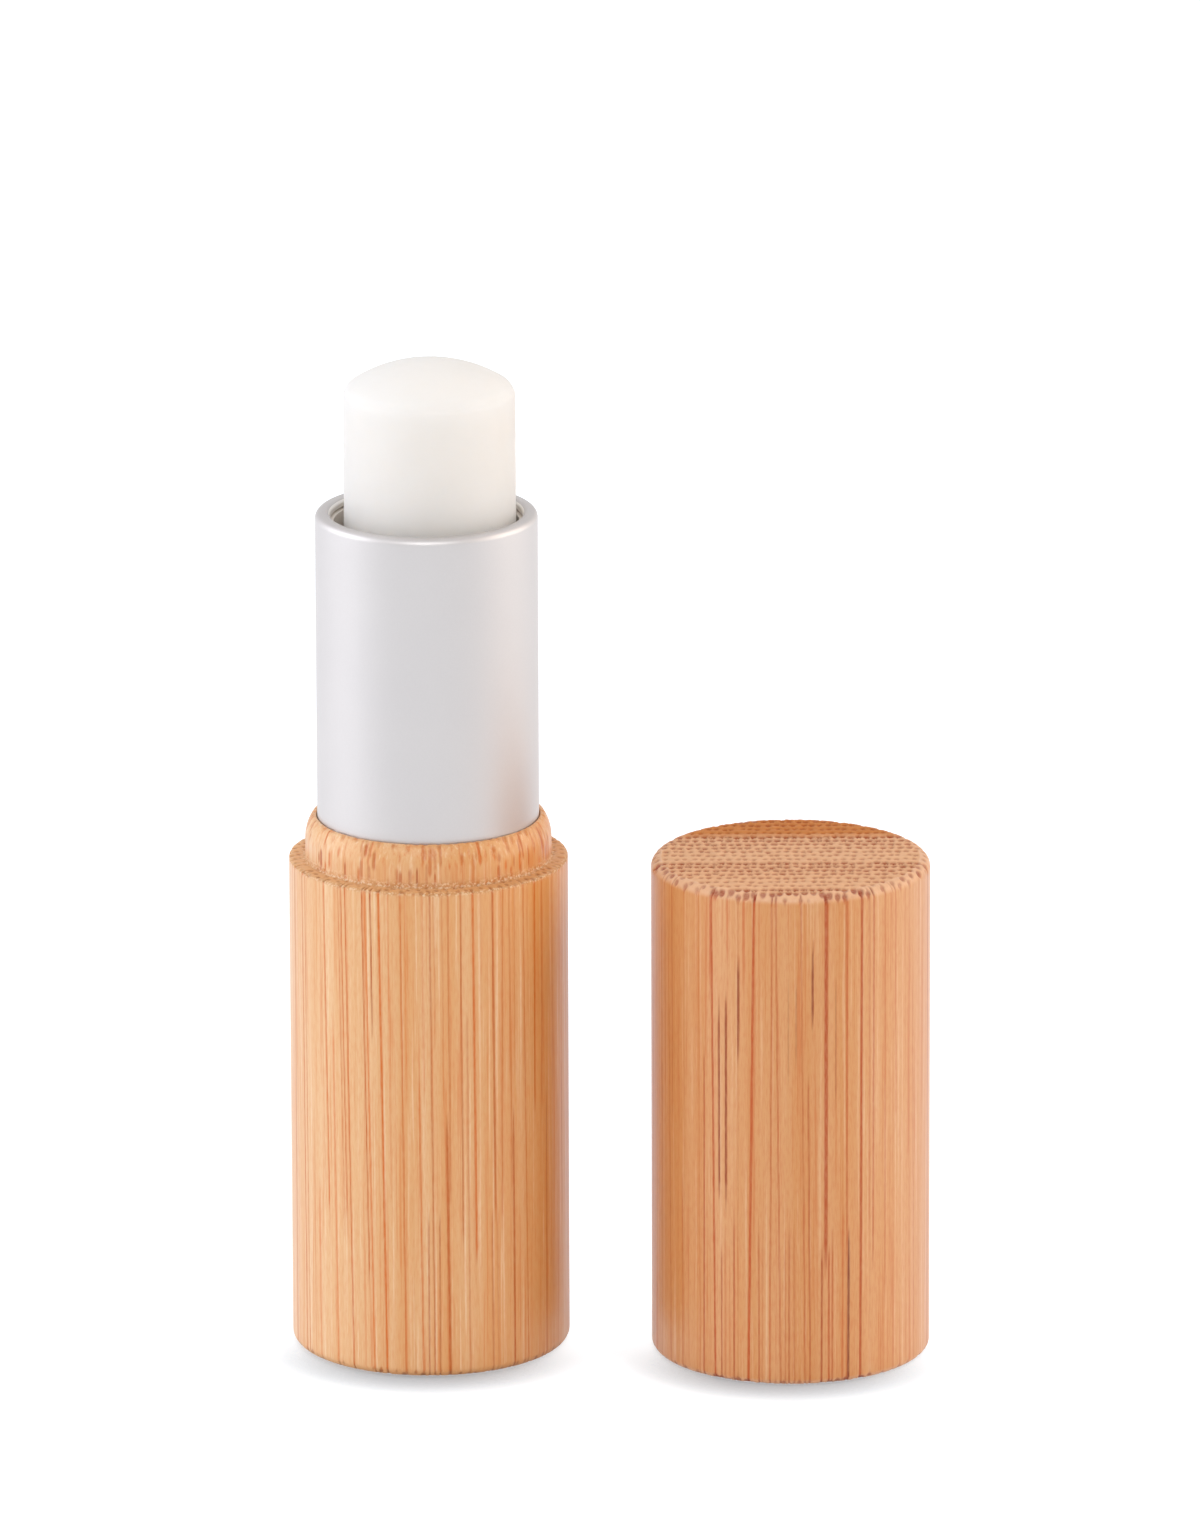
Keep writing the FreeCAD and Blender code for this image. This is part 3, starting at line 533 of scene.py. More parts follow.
bambooBase = {
    "radius": 10.0, "footRound": 0.7, "shoulder": 36.3, "shoulderRound": 0.1,
    "neckRadius": 8.83, "neckRoundStart": 37.6, "neckTopRadius": 8.27, "neckTop": 39.35,
    "bore": 8.07, "boreFloor": 16.4, "segments": 960, "axis": (0, 0),
    "closeBelow": 2.2, "closeAbove": 35.1,   # mm; rows lie close together beyond these heights
    # The neck's lip: drop and ease of its outer edge, then steps from the bore and the neck's top
    "lipDrop": 0.16, "lipEase": (0.1, 0.05), "lipSteps": ((0.02, 0), (-0.06, -0.05), (0, -0.4)),
    "seed": 12, "stripEdges": (13.0, 6.4, -0.2, -6.8, -13.4), "stripTurn": 24,
    "pitch": (0.6, 0.72), "rowGap": (0.8, 0.95), "dot": (0.36, 0.54), "sway": 0.05,
    "strongShare": 0.3, "frontSide": 0.25, "sideSink": 0.004, "endSink": 0.08, "backLines": 64,
    "edges": ((0.0, 0.8, 0.5), (36.3, 0.35, 1)),   # height and reach in mm, share of the end sink
    # Open streaks on the neck: turns in radians, lengths in mm, share kept of bundles and end grain
    "neckStreaks": {
        "count": 170, "half": (0.4, 1.5), "turnSpread": 0.004, "width": (0.14, 0.3),
        "strength": (0.35, 1.0), "tone": (0, 0.6), "fade": 0.5, "sink": 0.03, "room": 0.1,
        "bundles": 0.6, "endGrain": 0.2, "seedStep": 5,
    },
    # Torn fibres at the shoulder's edge and the neck's root: lengths in mm, widths in segments
    "fray": {
        "edgeReach": 0.22, "rootReach": 0.3, "rootRise": 0.1, "drop": 0.07, "dropBand": 0.3,
        "ragged": ((0.6, 2.5), (0.4, 7)), "swell": 0.008, "swellWidth": 2.0, "swellLevel": 0.6,
        "edgeTorn": (0.7, 0.6), "rootTorn": (0.8, 0.5), "rootWidth": 9,
    },
    "look": {
        "light": "#eabe8d", "deep": "#dc9244", "pale": "#f7dbb6", "line": "#d86c0a",
        "dark": "#98440a", "end": "#e3b07a", "endDeep": "#cc8e52", "pore": "#a4602c",
        # The drift is painted light and shade: paler towards the left lamp, deeper towards the right
        "fuzz": "#f2d8b4", "gap": "#c48448", "offset": (31.0, 7.0, 3.0), "paintedShadeDrift": (0.032, 0.0, 0.0),
        "stripDepth": (0.45, 0.42, 0.38, 0.42), "stripBlend": 0.12,
        "bandMm": 1.5, "fibreMm": 0.22, "hairMm": 0.1, "fuzzMm": 0.16,
        "streak": 0.42, "paleStreak": 0.45, "hair": 0.2,
    },
    # across mm at the top and foot of the span, width mm, strength, tone, lowest and highest mm
    "lineSpan": (8, 31, 2.0),
    "lines": [
        (-8.99, -8.9, 0.13, 1, 0.2, -9, 99), (-8.78, -8.7, 0.12, 0.81, 0.2, -9, 99),
        (-8.26, -8.22, 0.12, 0.44, 0.1, -9, 20), (-7.66, -7.36, 0.12, 0.38, 0.1, 11, 99),
        (-7.39, -7.12, 0.15, 0.94, 0.1, 10, 99), (-7.9, -7.84, 0.2, 0.5, 0, -9, 14),
        (-6.86, -6.66, 0.2, 0.62, 0, -9, 27), (-6.34, -6.03, 0.12, 0.62, 0.2, 10, 99),
        (-6.14, -5.83, 0.14, 0.88, 0.2, 10, 99), (-5.84, -5.56, 0.14, 0.94, 0.2, -9, 99),
        (-4.63, -4.32, 0.13, 0.94, 0.3, 6, 99), (-4.4, -4.07, 0.16, 0.81, 0, -9, 99),
        (-4.04, -3.8, 0.13, 1, 0.6, 25, 99), (-3.44, -3.16, 0.18, 1, 0.1, -9, 99),
        (-2.8, -2.65, 0.15, 0.4, 0, 12, 99), (-1.92, -1.75, 0.15, 0.75, 0.2, -9, 99),
        (-1.59, -1.5, 0.15, 0.45, 0, 20, 99), (-0.36, -0.2, 0.16, 0.45, 0, 20, 99),
        (-0.75, -0.52, 0.15, 0.8, 0.1, -9, 23), (0.18, 0.33, 0.14, 0.75, 0.4, -9, 99),
        (0.47, 0.6, 0.14, 0.4, 0.1, 24, 99), (1.05, 1.2, 0.14, 0.35, 0.2, 20, 99),
        (1.47, 1.58, 0.15, 0.6, 0.3, 12, 99), (1.2, 1.4, 0.22, 1, 0.4, -9, 20),
        (2.36, 2.46, 0.13, 0.75, 0.4, 9, 99), (2.75, 2.87, 0.15, 0.5, 0.3, -9, 28),
        (3.25, 3.4, 0.19, 0.95, 0.1, 8, 99), (3.77, 3.8, 0.12, 0.3, 0.2, 26, 99),
        (4.64, 4.78, 0.17, 0.9, 0.4, 11, 99), (4.4, 4.52, 0.16, 0.6, 0.4, -9, 13),
        (4.8, 4.89, 0.15, 0.35, 0.3, -9, 13), (5.32, 5.2, 0.14, 0.7, 0.2, 10, 99),
        (5.83, 5.97, 0.14, 0.5, 0.3, 12, 99), (6.17, 6.1, 0.14, 0.4, 0.2, 22, 99),
        (6.0, 6.08, 0.18, 1, 0.4, -9, 20), (6.83, 7.01, 0.15, 0.65, 0.2, -9, 99),
        (7.12, 7.3, 0.12, 0.3, 0.1, 24, 99), (7.6, 7.58, 0.17, 0.95, 0.2, 18, 99),
        (8.11, 8.06, 0.14, 0.75, 0.2, 18, 99), (8.42, 8.39, 0.14, 0.7, 0.4, -9, 21),
        (8.85, 8.87, 0.15, 0.5, 0.2, 20, 99), (0.7, 0.75, 0.13, 0.75, 0.5, -9, 13),
        (-0.1, -0.04, 0.13, 0.75, 0.5, -9, 13), (9.25, 9.2, 0.13, 0.35, 0.3, -9, 21),
    ],
}


def makeBase():
    s = bambooBase
    side, neck, shoulder, top = s["radius"], s["neckRadius"], s["shoulder"], s["neckTop"]
    foot, corner, roundStart = s["footRound"], s["shoulderRound"], s["neckRoundStart"]
    inward = neck - s["neckTopRadius"]
    arc = (inward ** 2 + (top - roundStart) ** 2) / (2 * inward)
    arcEnd = math.degrees(math.asin((top - s["lipDrop"] - roundStart) / arc))
    lip = (neck - arc + arc * math.cos(math.radians(arcEnd)), top - s["lipDrop"])
    rows = bend((side - foot, foot), foot, -90, 0, 8)
    rows += straight((side, foot), (side, s["closeBelow"]), 4)
    rows += straight((side, s["closeBelow"]), (side, s["closeAbove"]), 22)
    rows += straight((side, s["closeAbove"]), (side, shoulder - corner), 6)
    rows += bend((side - corner, shoulder - corner), corner, 0, 90, 4)
    rows += straight((side - corner, shoulder), (neck, shoulder), 8)
    rows += straight((neck, shoulder), (neck, roundStart), 8)
    rows += bend((neck - arc, roundStart), arc, 0, arcEnd, 12)
    rows += [lip, (lip[0] - s["lipEase"][0], top - s["lipEase"][1])]
    outside = len(rows)
    rows += [(s["bore"] + out, top + up) for out, up in s["lipSteps"]]
    rows += [(s["bore"], s["boreFloor"])]
    bundles = growBundles(s)
    points, values = woodRows(s, bundles, rows)
    values["endGrain"][outside:] = 0

    # The neck was cut with a blunter tool, which left it open in short streaks
    n = s["neckStreaks"]
    rng = np.random.default_rng(s["seed"] + n["seedStep"])
    at = rng.uniform(-math.pi, math.pi, n["count"])
    middle = rng.uniform(shoulder, top, n["count"])
    streaks = scatterLines(rng, at, middle, rng.uniform(*n["half"], n["count"]), n)
    turn, normals = turnsRound(s["segments"]), rowNormals(rows)
    for i, (r, z) in enumerate(rows):
        if z > shoulder and r > s["bore"] + n["room"]:
            line, lineTone = linesAt(streaks, (shoulder, top, n["fade"]), turn, r, z)
            values["fibre"][i] *= n["bundles"]
            values["endGrain"][i] *= n["endGrain"]
            drawOver(values, i, line, lineTone)
            sinkRow(points, i, normals[i], n["sink"] * line)

    # Torn fibres at the shoulder's edge and the neck's root, where the cutter left the wood
    f = s["fray"]
    ragged = sum(share * ripple(rng, s["segments"], width) for share, width in f["ragged"])
    for i, (r, z) in enumerate(rows):
        rise = z - shoulder
        edge = math.exp(-((r - side) ** 2 + rise ** 2) / f["edgeReach"] ** 2)
        root = math.exp(-((r - neck) ** 2 + (rise - f["rootRise"]) ** 2) / f["rootReach"] ** 2)
        swell = f["swell"] * (ripple(rng, s["segments"], f["swellWidth"]) + f["swellLevel"])
        rootRagged = ripple(rng, s["segments"], f["rootWidth"])
        if abs(rise) < f["dropBand"]:
            points[i, :, 2] -= edge * f["drop"] * (ragged + 1)
        points[i, :, :2] *= (1 + root * swell)[:, None]
        torn = edge * (f["edgeTorn"][0] + f["edgeTorn"][1] * ragged)
        torn += root * (f["rootTorn"][0] + f["rootTorn"][1] * rootRagged)
        values["torn"][i] = np.clip(torn, 0, 1)
    piece = finishWood("Base", s, bundles, points, values, 0.0, False, s["boreFloor"])
    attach(piece, "base")
    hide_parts("bamboo_base")


# Cap

bambooCap = {
    "radius": 10.0, "mouthRound": 0.5, "topRound": 0.75, "height": 36.6, "bore": 8.9,
    "chamfer": 0.2, "linerSeat": 8.7, "linerMouth": 3.25, "boreDepth": 27.8, "segments": 960,
    "axis": (25.94, -2.0), "closeBelow": 2.0, "closeAbove": 33.6,
    "seed": 31, "stripEdges": (11.7, 5.1, -1.5, -8.1, -14.7), "stripTurn": 0,
    "pitch": (0.58, 0.64), "rowGap": (0.86, 1.02), "dot": (0.53, 0.78), "sway": 0.05,
    "strongShare": 0.3, "frontSide": 0.22, "sideSink": 0.004, "endSink": 0.17, "backLines": 60,
    "edges": ((0.0, 0.6, 0.25), (36.6, 0.95, 1)),
    "look": {
        "light": "#e2ab78", "deep": "#d2873d", "pale": "#f1cca4", "line": "#c85604",
        "dark": "#82380a", "end": "#fed8b4", "endDeep": "#c87b3c", "pore": "#963000",
        "fuzz": "#ecd0ae", "gap": "#a9683a", "offset": (3.0, 41.0, 9.0), "paintedShadeDrift": (0.0, 0.0, 0.0),
        "stripDepth": (0.95, 0.36, 0.4, 0.4), "stripBlend": 0.7,
        "bandMm": 1.9, "fibreMm": 0.25, "hairMm": 0.1, "fuzzMm": 0.16,
        "streak": 0.36, "paleStreak": 0.4, "hair": 0.2,
    },
    "lineSpan": (3, 31, 2.0),
    "lines": [
        (-9.02, -8.97, 0.16, 0.45, 0.1, 20, 99), (-9.22, -9.28, 0.15, 0.4, 0.2, -9, 99),
        (-8.53, -8.48, 0.16, 0.5, 0.1, 18, 99), (-8.75, -8.64, 0.14, 0.5, 0.2, -9, 28),
        (-7.84, -7.8, 0.15, 0.55, 0.2, -9, 15), (-6.66, -6.58, 0.13, 0.35, 0.1, -9, 99),
        (-6.25, -6.29, 0.15, 0.85, 0.3, -9, 25), (-5.72, -5.5, 0.17, 1, 0.2, -9, 99),
        (-5.78, -5.7, 0.3, 0.75, 0.1, 28, 99), (-5.22, -5.18, 0.18, 1, 0.7, 13, 29),
        (-5.1, -5.03, 0.15, 0.75, 0.4, -9, 11), (-4.72, -4.72, 0.2, 1, 0.7, 12.5, 29.5),
        (-4.8, -4.77, 0.14, 0.5, 0.1, -9, 12), (-3.84, -3.86, 0.2, 1, 0.75, 23.5, 32.5),
        (-4.6, -4.5, 0.15, 0.4, 0, 30, 99), (-3.46, -3.4, 0.17, 0.6, 0, 28.5, 99),
        (-2.78, -3.1, 0.21, 1, 0.15, -9, 99), (-1.47, -1.6, 0.14, 0.65, 0.2, -9, 99),
        (-1.13, -0.86, 0.14, 0.65, 0.2, -9, 99), (-0.27, -0.27, 0.12, 0.3, 0.9, 22, 31),
        (0.28, 0.22, 0.13, 0.4, 0.8, 23, 31), (0.65, 0.9, 0.13, 0.6, 0.2, -9, 99),
        (1.45, 1.44, 0.17, 1, 0.8, 26, 33.5), (1.1, 1.27, 0.14, 0.7, 0.3, -9, 24),
        (2.42, 2.4, 0.29, 1, 0.3, 8, 99), (2.2, 2.11, 0.17, 0.9, 0.4, -9, 11),
        (2.6, 2.63, 0.17, 0.85, 0.2, -9, 11), (2.9, 2.88, 0.15, 0.7, 0.2, -9, 12),
        (3.1, 3.1, 0.12, 0.4, 0.9, 20, 31), (3.89, 3.95, 0.15, 0.7, 0.2, 8, 99),
        (4.1, 4.03, 0.2, 1, 0.9, -9, 12), (3.7, 3.61, 0.16, 0.55, 0, -9, 14),
        (4.97, 4.9, 0.21, 1, 0.3, -9, 99), (5.55, 5.55, 0.14, 0.45, 0.2, 10, 99),
        (5.83, 5.8, 0.16, 0.7, 0.2, 8, 99), (6.65, 6.66, 0.15, 0.5, 0.1, 5, 99),
        (7.41, 7.5, 0.14, 0.5, 0, 18, 99), (7.2, 7.28, 0.12, 0.25, 0, -9, 99),
        (8.65, 8.78, 0.13, 0.5, 0.1, -9, 30), (8.4, 8.45, 0.12, 0.25, 0, -9, 99),
        (-4.2, -4.14, 0.14, 0.75, 0.4, -9, 13), (-2.45, -2.38, 0.13, 0.7, 0.3, -9, 13),
        (-2.1, -2.14, 0.12, 0.4, 0.2, -9, 12), (-0.5, -0.49, 0.13, 0.4, 0.2, -9, 12),
        (-0.2, -0.21, 0.14, 0.65, 0.3, -9, 13), (0.1, 0.14, 0.14, 0.5, 0.2, -9, 13),
    ],
}


def makeCap():
    s = bambooCap
    side, bore, seat, height = s["radius"], s["bore"], s["linerSeat"], s["height"]
    mouth, top = s["mouthRound"], s["topRound"]
    rows = [(seat, s["boreDepth"]), (seat, s["linerMouth"])]
    rows += [(bore, s["linerMouth"]), (bore, s["chamfer"])]
    inside = len(rows)
    rows += straight((bore + s["chamfer"], 0), (side - mouth, 0), 4)
    rows += bend((side - mouth, mouth), mouth, -90, 0, 7)
    rows += straight((side, mouth), (side, s["closeBelow"]), 4)
    rows += straight((side, s["closeBelow"]), (side, s["closeAbove"]), 22)
    rows += straight((side, s["closeAbove"]), (side, height - top), 12)
    rows += bend((side - top, height - top), top, 0, 90, 12)
    rows += [(side - top, height)]
    bundles = growBundles(s)
    points, values = woodRows(s, bundles, rows)
    values["endGrain"][:inside] = 0
    piece = finishWood("Cap", s, bundles, points, values, height, True, s["boreDepth"])
    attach(piece, "cap")
    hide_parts("bamboo_cap")


# Plain finishes: clouds and grain are (size in mm, detail), relief is (strength, depth in mm)

def cloudedMaterial(name, finish):
    # Two close tints in soft clouds, and a gloss that follows the fine grain
    material, tree = newMaterial(name)
    place = addNode(tree, "ShaderNodeTexCoord").outputs["Object"]
    cloud, grain = (addNode(tree, "ShaderNodeTexNoise", {"Vector": place, "Scale": 1 / (size * mm),
                                                         "Detail": detail}).outputs["Fac"]
                    for size, detail in (finish["cloud"], finish["grain"]))
    pale, deep = (linear(tint) for tint in finish["tints"])
    tint = addNode(tree, "ShaderNodeMix", {0: cloud, 6: pale, 7: deep}, data_type="RGBA")
    (start, full), (least, most) = finish["grainRange"], finish["roughness"]
    rough = addNode(tree, "ShaderNodeMapRange",
                    {"Value": grain, "From Min": start, "From Max": full,
                     "To Min": least, "To Max": most})
    links = {"Base Color": tint.outputs[2], "Roughness": rough.outputs[0], **finish["sockets"]}
    if "relief" in finish:
        strength, depth = finish["relief"]
        bump = addNode(tree, "ShaderNodeBump", {"Height": grain, "Strength": strength,
                                                "Distance": depth * mm})
        links["Normal"] = bump.outputs[0]
    showShader(tree, addNode(tree, "ShaderNodeBsdfPrincipled", links))
    return material


# Metal sleeve

metalSleeve = {
    "radius": 7.95, "inside": 7.65, "foot": 24.4, "rim": 61.8, "rimRound": 0.52, "lipBore": 6.86,
    "lipRound": 0.42, "lipUnder": 61.2, "segments": 256,
    # The etched grain is about 0.02 mm; it is drawn coarser so that it shows
    "tints": ("#ccc8c8", "#d1cdcc"), "cloud": (6, 2.0), "grain": (0.12, 3.0),
    "grainRange": (0.3, 0.7), "roughness": (0.49, 0.55), "relief": (0.06, 0.02),
    "sockets": {"Metallic": 1.0},
    # Inside: a paler tint, which is painted light, then its grain in mm and its roughness
    "paintedLightInsideTint": "#f4f1ed", "insideGrainMm": 0.12, "insideRoughness": (0.4, 0.5),
}


def makeSleeve():
    s = metalSleeve
    # Satin anodised aluminium, etched before that: an even pale grey with soft wide reflections
    material = cloudedMaterial("satinAnodisedAluminium", s)
    # Paler copy of the aluminium for the inside: painted light, brighter than the outside so that
    # light carries down the gap
    paintedLightInside, tree = newMaterial("paintedLightInsideAluminium")
    place = addNode(tree, "ShaderNodeTexCoord").outputs["Object"]
    drawn = addNode(tree, "ShaderNodeTexNoise", {"Vector": place, "Scale": 1 / (s["insideGrainMm"] * mm),
                                                 "Detail": 2.0})
    least, most = s["insideRoughness"]
    rough = addNode(tree, "ShaderNodeMapRange", {"Value": drawn.outputs["Fac"], "To Min": least,
                                                 "To Max": most})
    shader = addNode(tree, "ShaderNodeBsdfPrincipled",
                     {"Base Color": linear(s["paintedLightInsideTint"]), "Roughness": rough.outputs[0],
                      "Metallic": 1.0})
    showShader(tree, shader)
    side, inside, foot, top = s["radius"], s["inside"], s["foot"], s["rim"]
    rim, lip, bore, under = s["rimRound"], s["lipRound"], s["lipBore"], s["lipUnder"]
    rows = straight((inside, foot), (side, foot), 2)
    rows += straight((side, foot), (side, top - rim), 24)
    rows += bend((side - rim, top - rim), rim, 0, 90, 14)
    rows += straight((side - rim, top), (bore + lip, top), 3)
    lipRows = bend((bore + lip, top - lip), lip, 90, 180, 12)
    paintedLightFrom = len(rows) + len(lipRows) // 2   # halfway round the lip
    rows += lipRows
    rows += straight((bore, top - lip), (bore, under), 2)
    rows += straight((bore, under), (inside, under), 4)
    rows += straight((inside, under), (inside, foot), 12)
    points = spinRows(rows, s["segments"]).reshape(-1, 3)
    faces = bandFaces(len(rows), s["segments"], closed=True)
    piece = makePiece("rolledSleeve", points, faces, (0, 0), [material, paintedLightInside],
                      second=(paintedLightFrom * s["segments"], len(faces)))
    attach(piece, "sleeve")
    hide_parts("metal_sleeve")
    print("sleeve drawn:", len(points), "points")


# Wax bullet

waxBullet = {
    "radius": 6.15, "foot": 39.2, "top": 72.8, "dome": 2.0, "domeRound": 1.25, "segments": 192,
    "footCore": 2.0, "domeEnd": 89,   # mm and degrees, where the fans to the two middles begin
    "cupTop": 48.0, "rim": 61.8, "lean": 0.26,   # mm to one side, gained between cup and rim
    "seed": 4, "unevenMm": 0.012, "unevenWidth": 14, "unevenBeyond": 1.0,
    "tints": ("#eae7e4", "#e6e3df"), "cloud": (3.2, 3.0), "grain": (0.8, 3.0),
    "grainRange": (0.3, 0.7), "roughness": (0.42, 0.58), "relief": (0.12, 0.05),
    "sockets": {"IOR": 1.44, "Specular IOR Level": 0.2, "Subsurface Weight": 1.0,
                "Subsurface Radius": (1.0, 0.95, 0.9), "Subsurface Scale": 0.008},
}


def makeBullet():
    s = waxBullet
    # Cast wax, wiped smooth: milky off-white that light enters, with faint clouds and a dull gloss
    material = cloudedMaterial("castWax", s)
    side, foot, corner = s["radius"], s["foot"], s["domeRound"]
    arc = (side ** 2 + s["dome"] ** 2) / (2 * s["dome"])
    domeCentre, inset = s["top"] - arc, side - corner
    roundCentre = domeCentre + math.sqrt((arc - corner) ** 2 - inset ** 2)
    meet = math.degrees(math.atan2(roundCentre - domeCentre, inset))
    rows = straight((s["footCore"], foot), (side, foot), 3)
    rows += straight((side, foot), (side, roundCentre), 44)
    rows += bend((inset, roundCentre), corner, 0, meet, 14)
    rows += bend((0, domeCentre), arc, meet, s["domeEnd"], 22)
    points = spinRows(rows, s["segments"])
    rng = np.random.default_rng(s["seed"])
    for i, (r, z) in enumerate(rows):
        # Casting leaves the side a little uneven, and the bullet stands slightly off the axis
        uneven = s["unevenMm"] / side * (1 + ripple(rng, s["segments"], s["unevenWidth"]))
        if r > s["unevenBeyond"]:
            points[i, :, :2] *= (1 - uneven)[:, None]
        points[i, :, 0] += s["lean"] * smooth((z - s["cupTop"]) / (s["rim"] - s["cupTop"]))
    count, total = s["segments"], len(rows) * s["segments"]
    middles = [[0, 0, foot], [s["lean"], 0, s["top"]]]
    allPoints = np.concatenate([points.reshape(-1, 3), middles])
    faces = bandFaces(len(rows), count) + fanFaces(0, count, total, False)
    faces += fanFaces(total - count, count, total + 1, True)
    piece = makePiece("waxBullet", allPoints, faces, (0, 0), [material])
    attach(piece, "carrier")
    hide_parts("balm")
    print("bullet cast:", len(allPoints), "points")


# Moulded pieces keep their solids and get their finishes

polypropylene = {
    # Natural polypropylene, injection moulded: waxy off-white with soft flow clouds and a low gloss
    "name": "naturalPolypropylene_{}",
    "cloud": (4, 3.0), "grain": (0.25, 2.0), "grainRange": (0, 1),
    "sockets": {"IOR": 1.49, "Subsurface Weight": 0.15, "Subsurface Radius": (1.0, 0.9, 0.8),
                "Subsurface Scale": 0.0008},
}
silicone = {
    # Greased silicone: a soft translucent grey ring with a wet gloss
    "name": "greasedSilicone", "cloud": (0.6, 2.0), "grain": (0.6, 2.0), "grainRange": (0, 1),
    "sockets": {"IOR": 1.41},
}
mouldings = {
    "guide_tube": {**polypropylene, "tints": ("#e2d9cf", "#d8cec3"), "roughness": (0.39, 0.51)},
    "spiral_tube": {**polypropylene, "tints": ("#e6e1d8", "#dcd6cc"), "roughness": (0.36, 0.48)},
    "balm_cup": {**polypropylene, "tints": ("#ece8e0", "#e2ddd3"), "roughness": (0.39, 0.51)},
    "base_insert": {**polypropylene, "tints": ("#e6e1d8", "#dcd6cc"), "roughness": (0.44, 0.56)},
    "cap_liner": {**polypropylene, "tints": ("#ece8e0", "#e0dad0"), "roughness": (0.34, 0.46)},
    "brake_ring": {**silicone, "tints": ("#d8d8d4", "#cacac6"), "roughness": (0.15, 0.35)},
}


def finishMouldings():
    for label, finish in mouldings.items():
        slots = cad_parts[label].data.materials
        slots.clear()
        slots.append(cloudedMaterial(finish["name"].format(label), finish))
    print("mouldings finished:", len(mouldings))


# Floor, light and camera

studio = {
    "floorSize": 6.0, "floorColour": "#f0f0f0", "seenColour": "#9ca4ac",
    # Glow of the seen floor in the open and in the contact shadow, and the shadow's reach and lean
    "floorLift": 0.88, "contactLift": 0.13, "contactMm": 5.0, "contactRays": 8,
    "shadowLean": (0.25, 2.0, 0.0), "shadowRange": (0.32, 0.9),
    # The room as light and as seen, and its share in front and overhead between two directions
    "fill": 0.5, "seen": 1.0, "front": 0.5, "frontRange": (-0.95, -0.3),
    "overhead": 0.55, "overheadRange": (0.45, 0.95),
    "lamps": [
        # place, target, width, height, power, colour
        ((-0.85, 0.0, 0.38), (0, 0, 0.035), 0.9, 0.8, 5.05, "#f6f8ff"),
        ((0.9, 0.05, 0.38), (0.026, 0, 0.03), 0.9, 0.8, 4.7, "#fff1e4"),
        ((0.0, 0.35, 1.0), (0.012, 0, 0.03), 0.9, 0.7, 2.5, "#ffffff"),
        ((0.0, -1.0, 0.8), (0.012, 0, 0.03), 0.8, 0.6, 6.6, "#ffffff"),
    ],
}


def seenRays(tree):
    # 1 for rays that show the surroundings themselves: to the camera, in gloss and through glass
    path = addNode(tree, "ShaderNodeLightPath")
    seen = path.outputs["Is Camera Ray"]
    for ray in ("Is Glossy Ray", "Is Transmission Ray"):
        seen = addNode(tree, "ShaderNodeMath", {0: seen, 1: path.outputs[ray]},
                       operation="MAXIMUM").outputs[0]
    return seen


def makeFloor():
    s = studio
    half = s["floorSize"] / 2
    corners = [(-half, -half, 0), (half, -half, 0), (half, half, 0), (-half, half, 0)]
    mesh = bpy.data.meshes.new("studioFloor")
    mesh.from_pydata(corners, [], [(0, 1, 2, 3)])
    floor = bpy.data.objects.new("studioFloor", mesh)
    scene.collection.objects.link(floor)
    # Matt white board, which the camera and reflections see lifted to white except close to the
    # object, so that its contact shadow stays
    material, tree = newMaterial("mattWhiteBoard")
    seen = seenRays(tree)
    facing = addNode(tree, "ShaderNodeNewGeometry")
    # The room is brighter behind the object, so the contact shadow falls to the front: it lies
    # where the object closes off the back more than the front
    openings = []
    for lean in ("SUBTRACT", "ADD"):
        leant = addNode(tree, "ShaderNodeVectorMath",
                        {0: facing.outputs["Normal"], 1: s["shadowLean"]}, operation=lean)
        opening = addNode(tree, "ShaderNodeAmbientOcclusion",
                          {"Distance": s["contactMm"] * mm, "Normal": leant.outputs[0]},
                          samples=s["contactRays"])
        openings.append(opening.outputs["AO"])
    close = addNode(tree, "ShaderNodeMath", {0: openings[1], 1: openings[0]}, operation="DIVIDE")
    start, full = s["shadowRange"]
    lift = addNode(tree, "ShaderNodeMapRange",
                   {"Value": close.outputs[0], "From Min": start, "From Max": full,
                    "To Min": s["contactLift"], "To Max": s["floorLift"]})
    matt, shown = (addNode(tree, "ShaderNodeBsdfDiffuse", {"Color": linear(s[colour])})
                   for colour in ("floorColour", "seenColour"))
    glow = addNode(tree, "ShaderNodeEmission", {"Strength": lift.outputs[0]})
    lifted = addNode(tree, "ShaderNodeAddShader", {0: shown.outputs[0], 1: glow.outputs[0]})
    board = addNode(tree, "ShaderNodeMixShader",
                    {0: seen, 1: matt.outputs[0], 2: lifted.outputs[0]})
    showShader(tree, board)
    mesh.materials.append(material)
    print("floor laid")


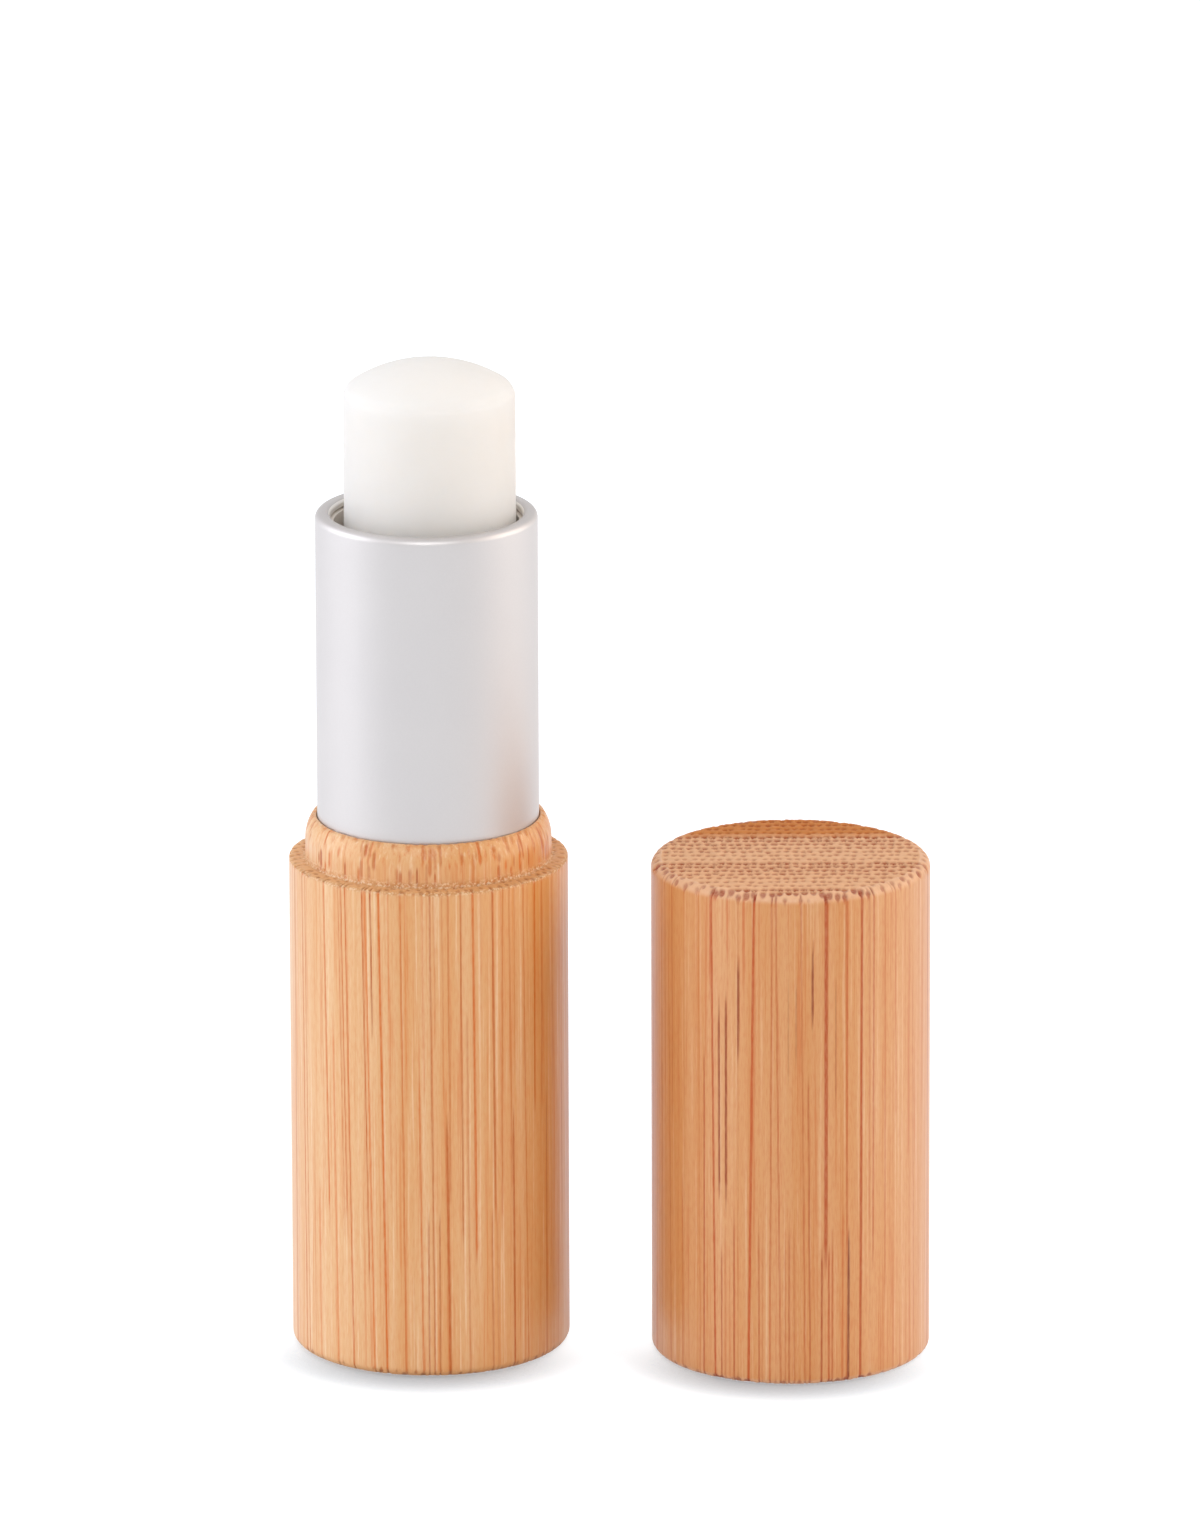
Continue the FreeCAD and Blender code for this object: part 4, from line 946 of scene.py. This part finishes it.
def lightStudio():
    s = studio
    world = bpy.data.worlds.new("softStudio")
    world.use_nodes = True
    tree = world.node_tree
    tree.nodes.clear()
    level = addNode(tree, "ShaderNodeMapRange", {"Value": seenRays(tree), "To Min": s["fill"],
                                                 "To Max": s["seen"]})
    strength = level.outputs[0]
    # The room is darker in front, where the photographer stands, and overhead
    way = addNode(tree, "ShaderNodeTexCoord").outputs["Generated"]
    parts = addNode(tree, "ShaderNodeSeparateXYZ", {0: way})
    for axis, (start, full), least, most in (("Y", s["frontRange"], s["front"], 1.0),
                                             ("Z", s["overheadRange"], 1.0, s["overhead"])):
        share = addNode(tree, "ShaderNodeMapRange",
                        {"Value": parts.outputs[axis], "From Min": start, "From Max": full,
                         "To Min": least, "To Max": most})
        strength = addNode(tree, "ShaderNodeMath", {0: strength, 1: share.outputs[0]},
                           operation="MULTIPLY").outputs[0]
    sky = addNode(tree, "ShaderNodeBackground", {"Strength": strength})
    addNode(tree, "ShaderNodeOutputWorld", {"Surface": sky.outputs[0]})
    scene.world = world
    for number, (place, target, width, height, power, colour) in enumerate(s["lamps"], start=1):
        light = bpy.data.lights.new("softbox%d" % number, "AREA")
        light.shape = "RECTANGLE"
        light.size, light.size_y = width, height
        light.energy = power
        light.color = linear(colour)[:3]
        lamp = bpy.data.objects.new("softbox%d" % number, light)
        lamp.location = place
        lamp.rotation_euler = (Vector(target) - Vector(place)).to_track_quat("-Z", "Y").to_euler()
        scene.collection.objects.link(lamp)
    print("studio lit:", len(s["lamps"]), "lamps")


viewpoint = {
    # Found by fitting the solids' outlines to the photograph, whose frame is 1200 x 1534
    "place": (0.01232, -1.1, 0.36195), "pitch": 0.28246, "roll": -0.00327, "focalPixels": 15999.1,
    "frameHeight": 1534, "sensor": 36.0,
}


def makeCamera():
    v = viewpoint
    data = bpy.data.cameras.new("photoCamera")
    data.sensor_fit = "VERTICAL"
    data.sensor_height = v["sensor"]
    data.lens = v["focalPixels"] / v["frameHeight"] * v["sensor"]
    camera = bpy.data.objects.new("photoCamera", data)
    down = Euler((math.pi / 2 - v["pitch"], 0, 0)).to_matrix()
    camera.rotation_euler = (down @ Matrix.Rotation(v["roll"], 3, "Z")).to_euler()
    camera.location = v["place"]
    scene.collection.objects.link(camera)
    scene.camera = camera
    print("camera set, lens %.1f mm" % data.lens)


scene.view_settings.view_transform = "Standard"
makeBase()
makeCap()
makeSleeve()
makeBullet()
finishMouldings()
makeFloor()
lightStudio()
makeCamera()
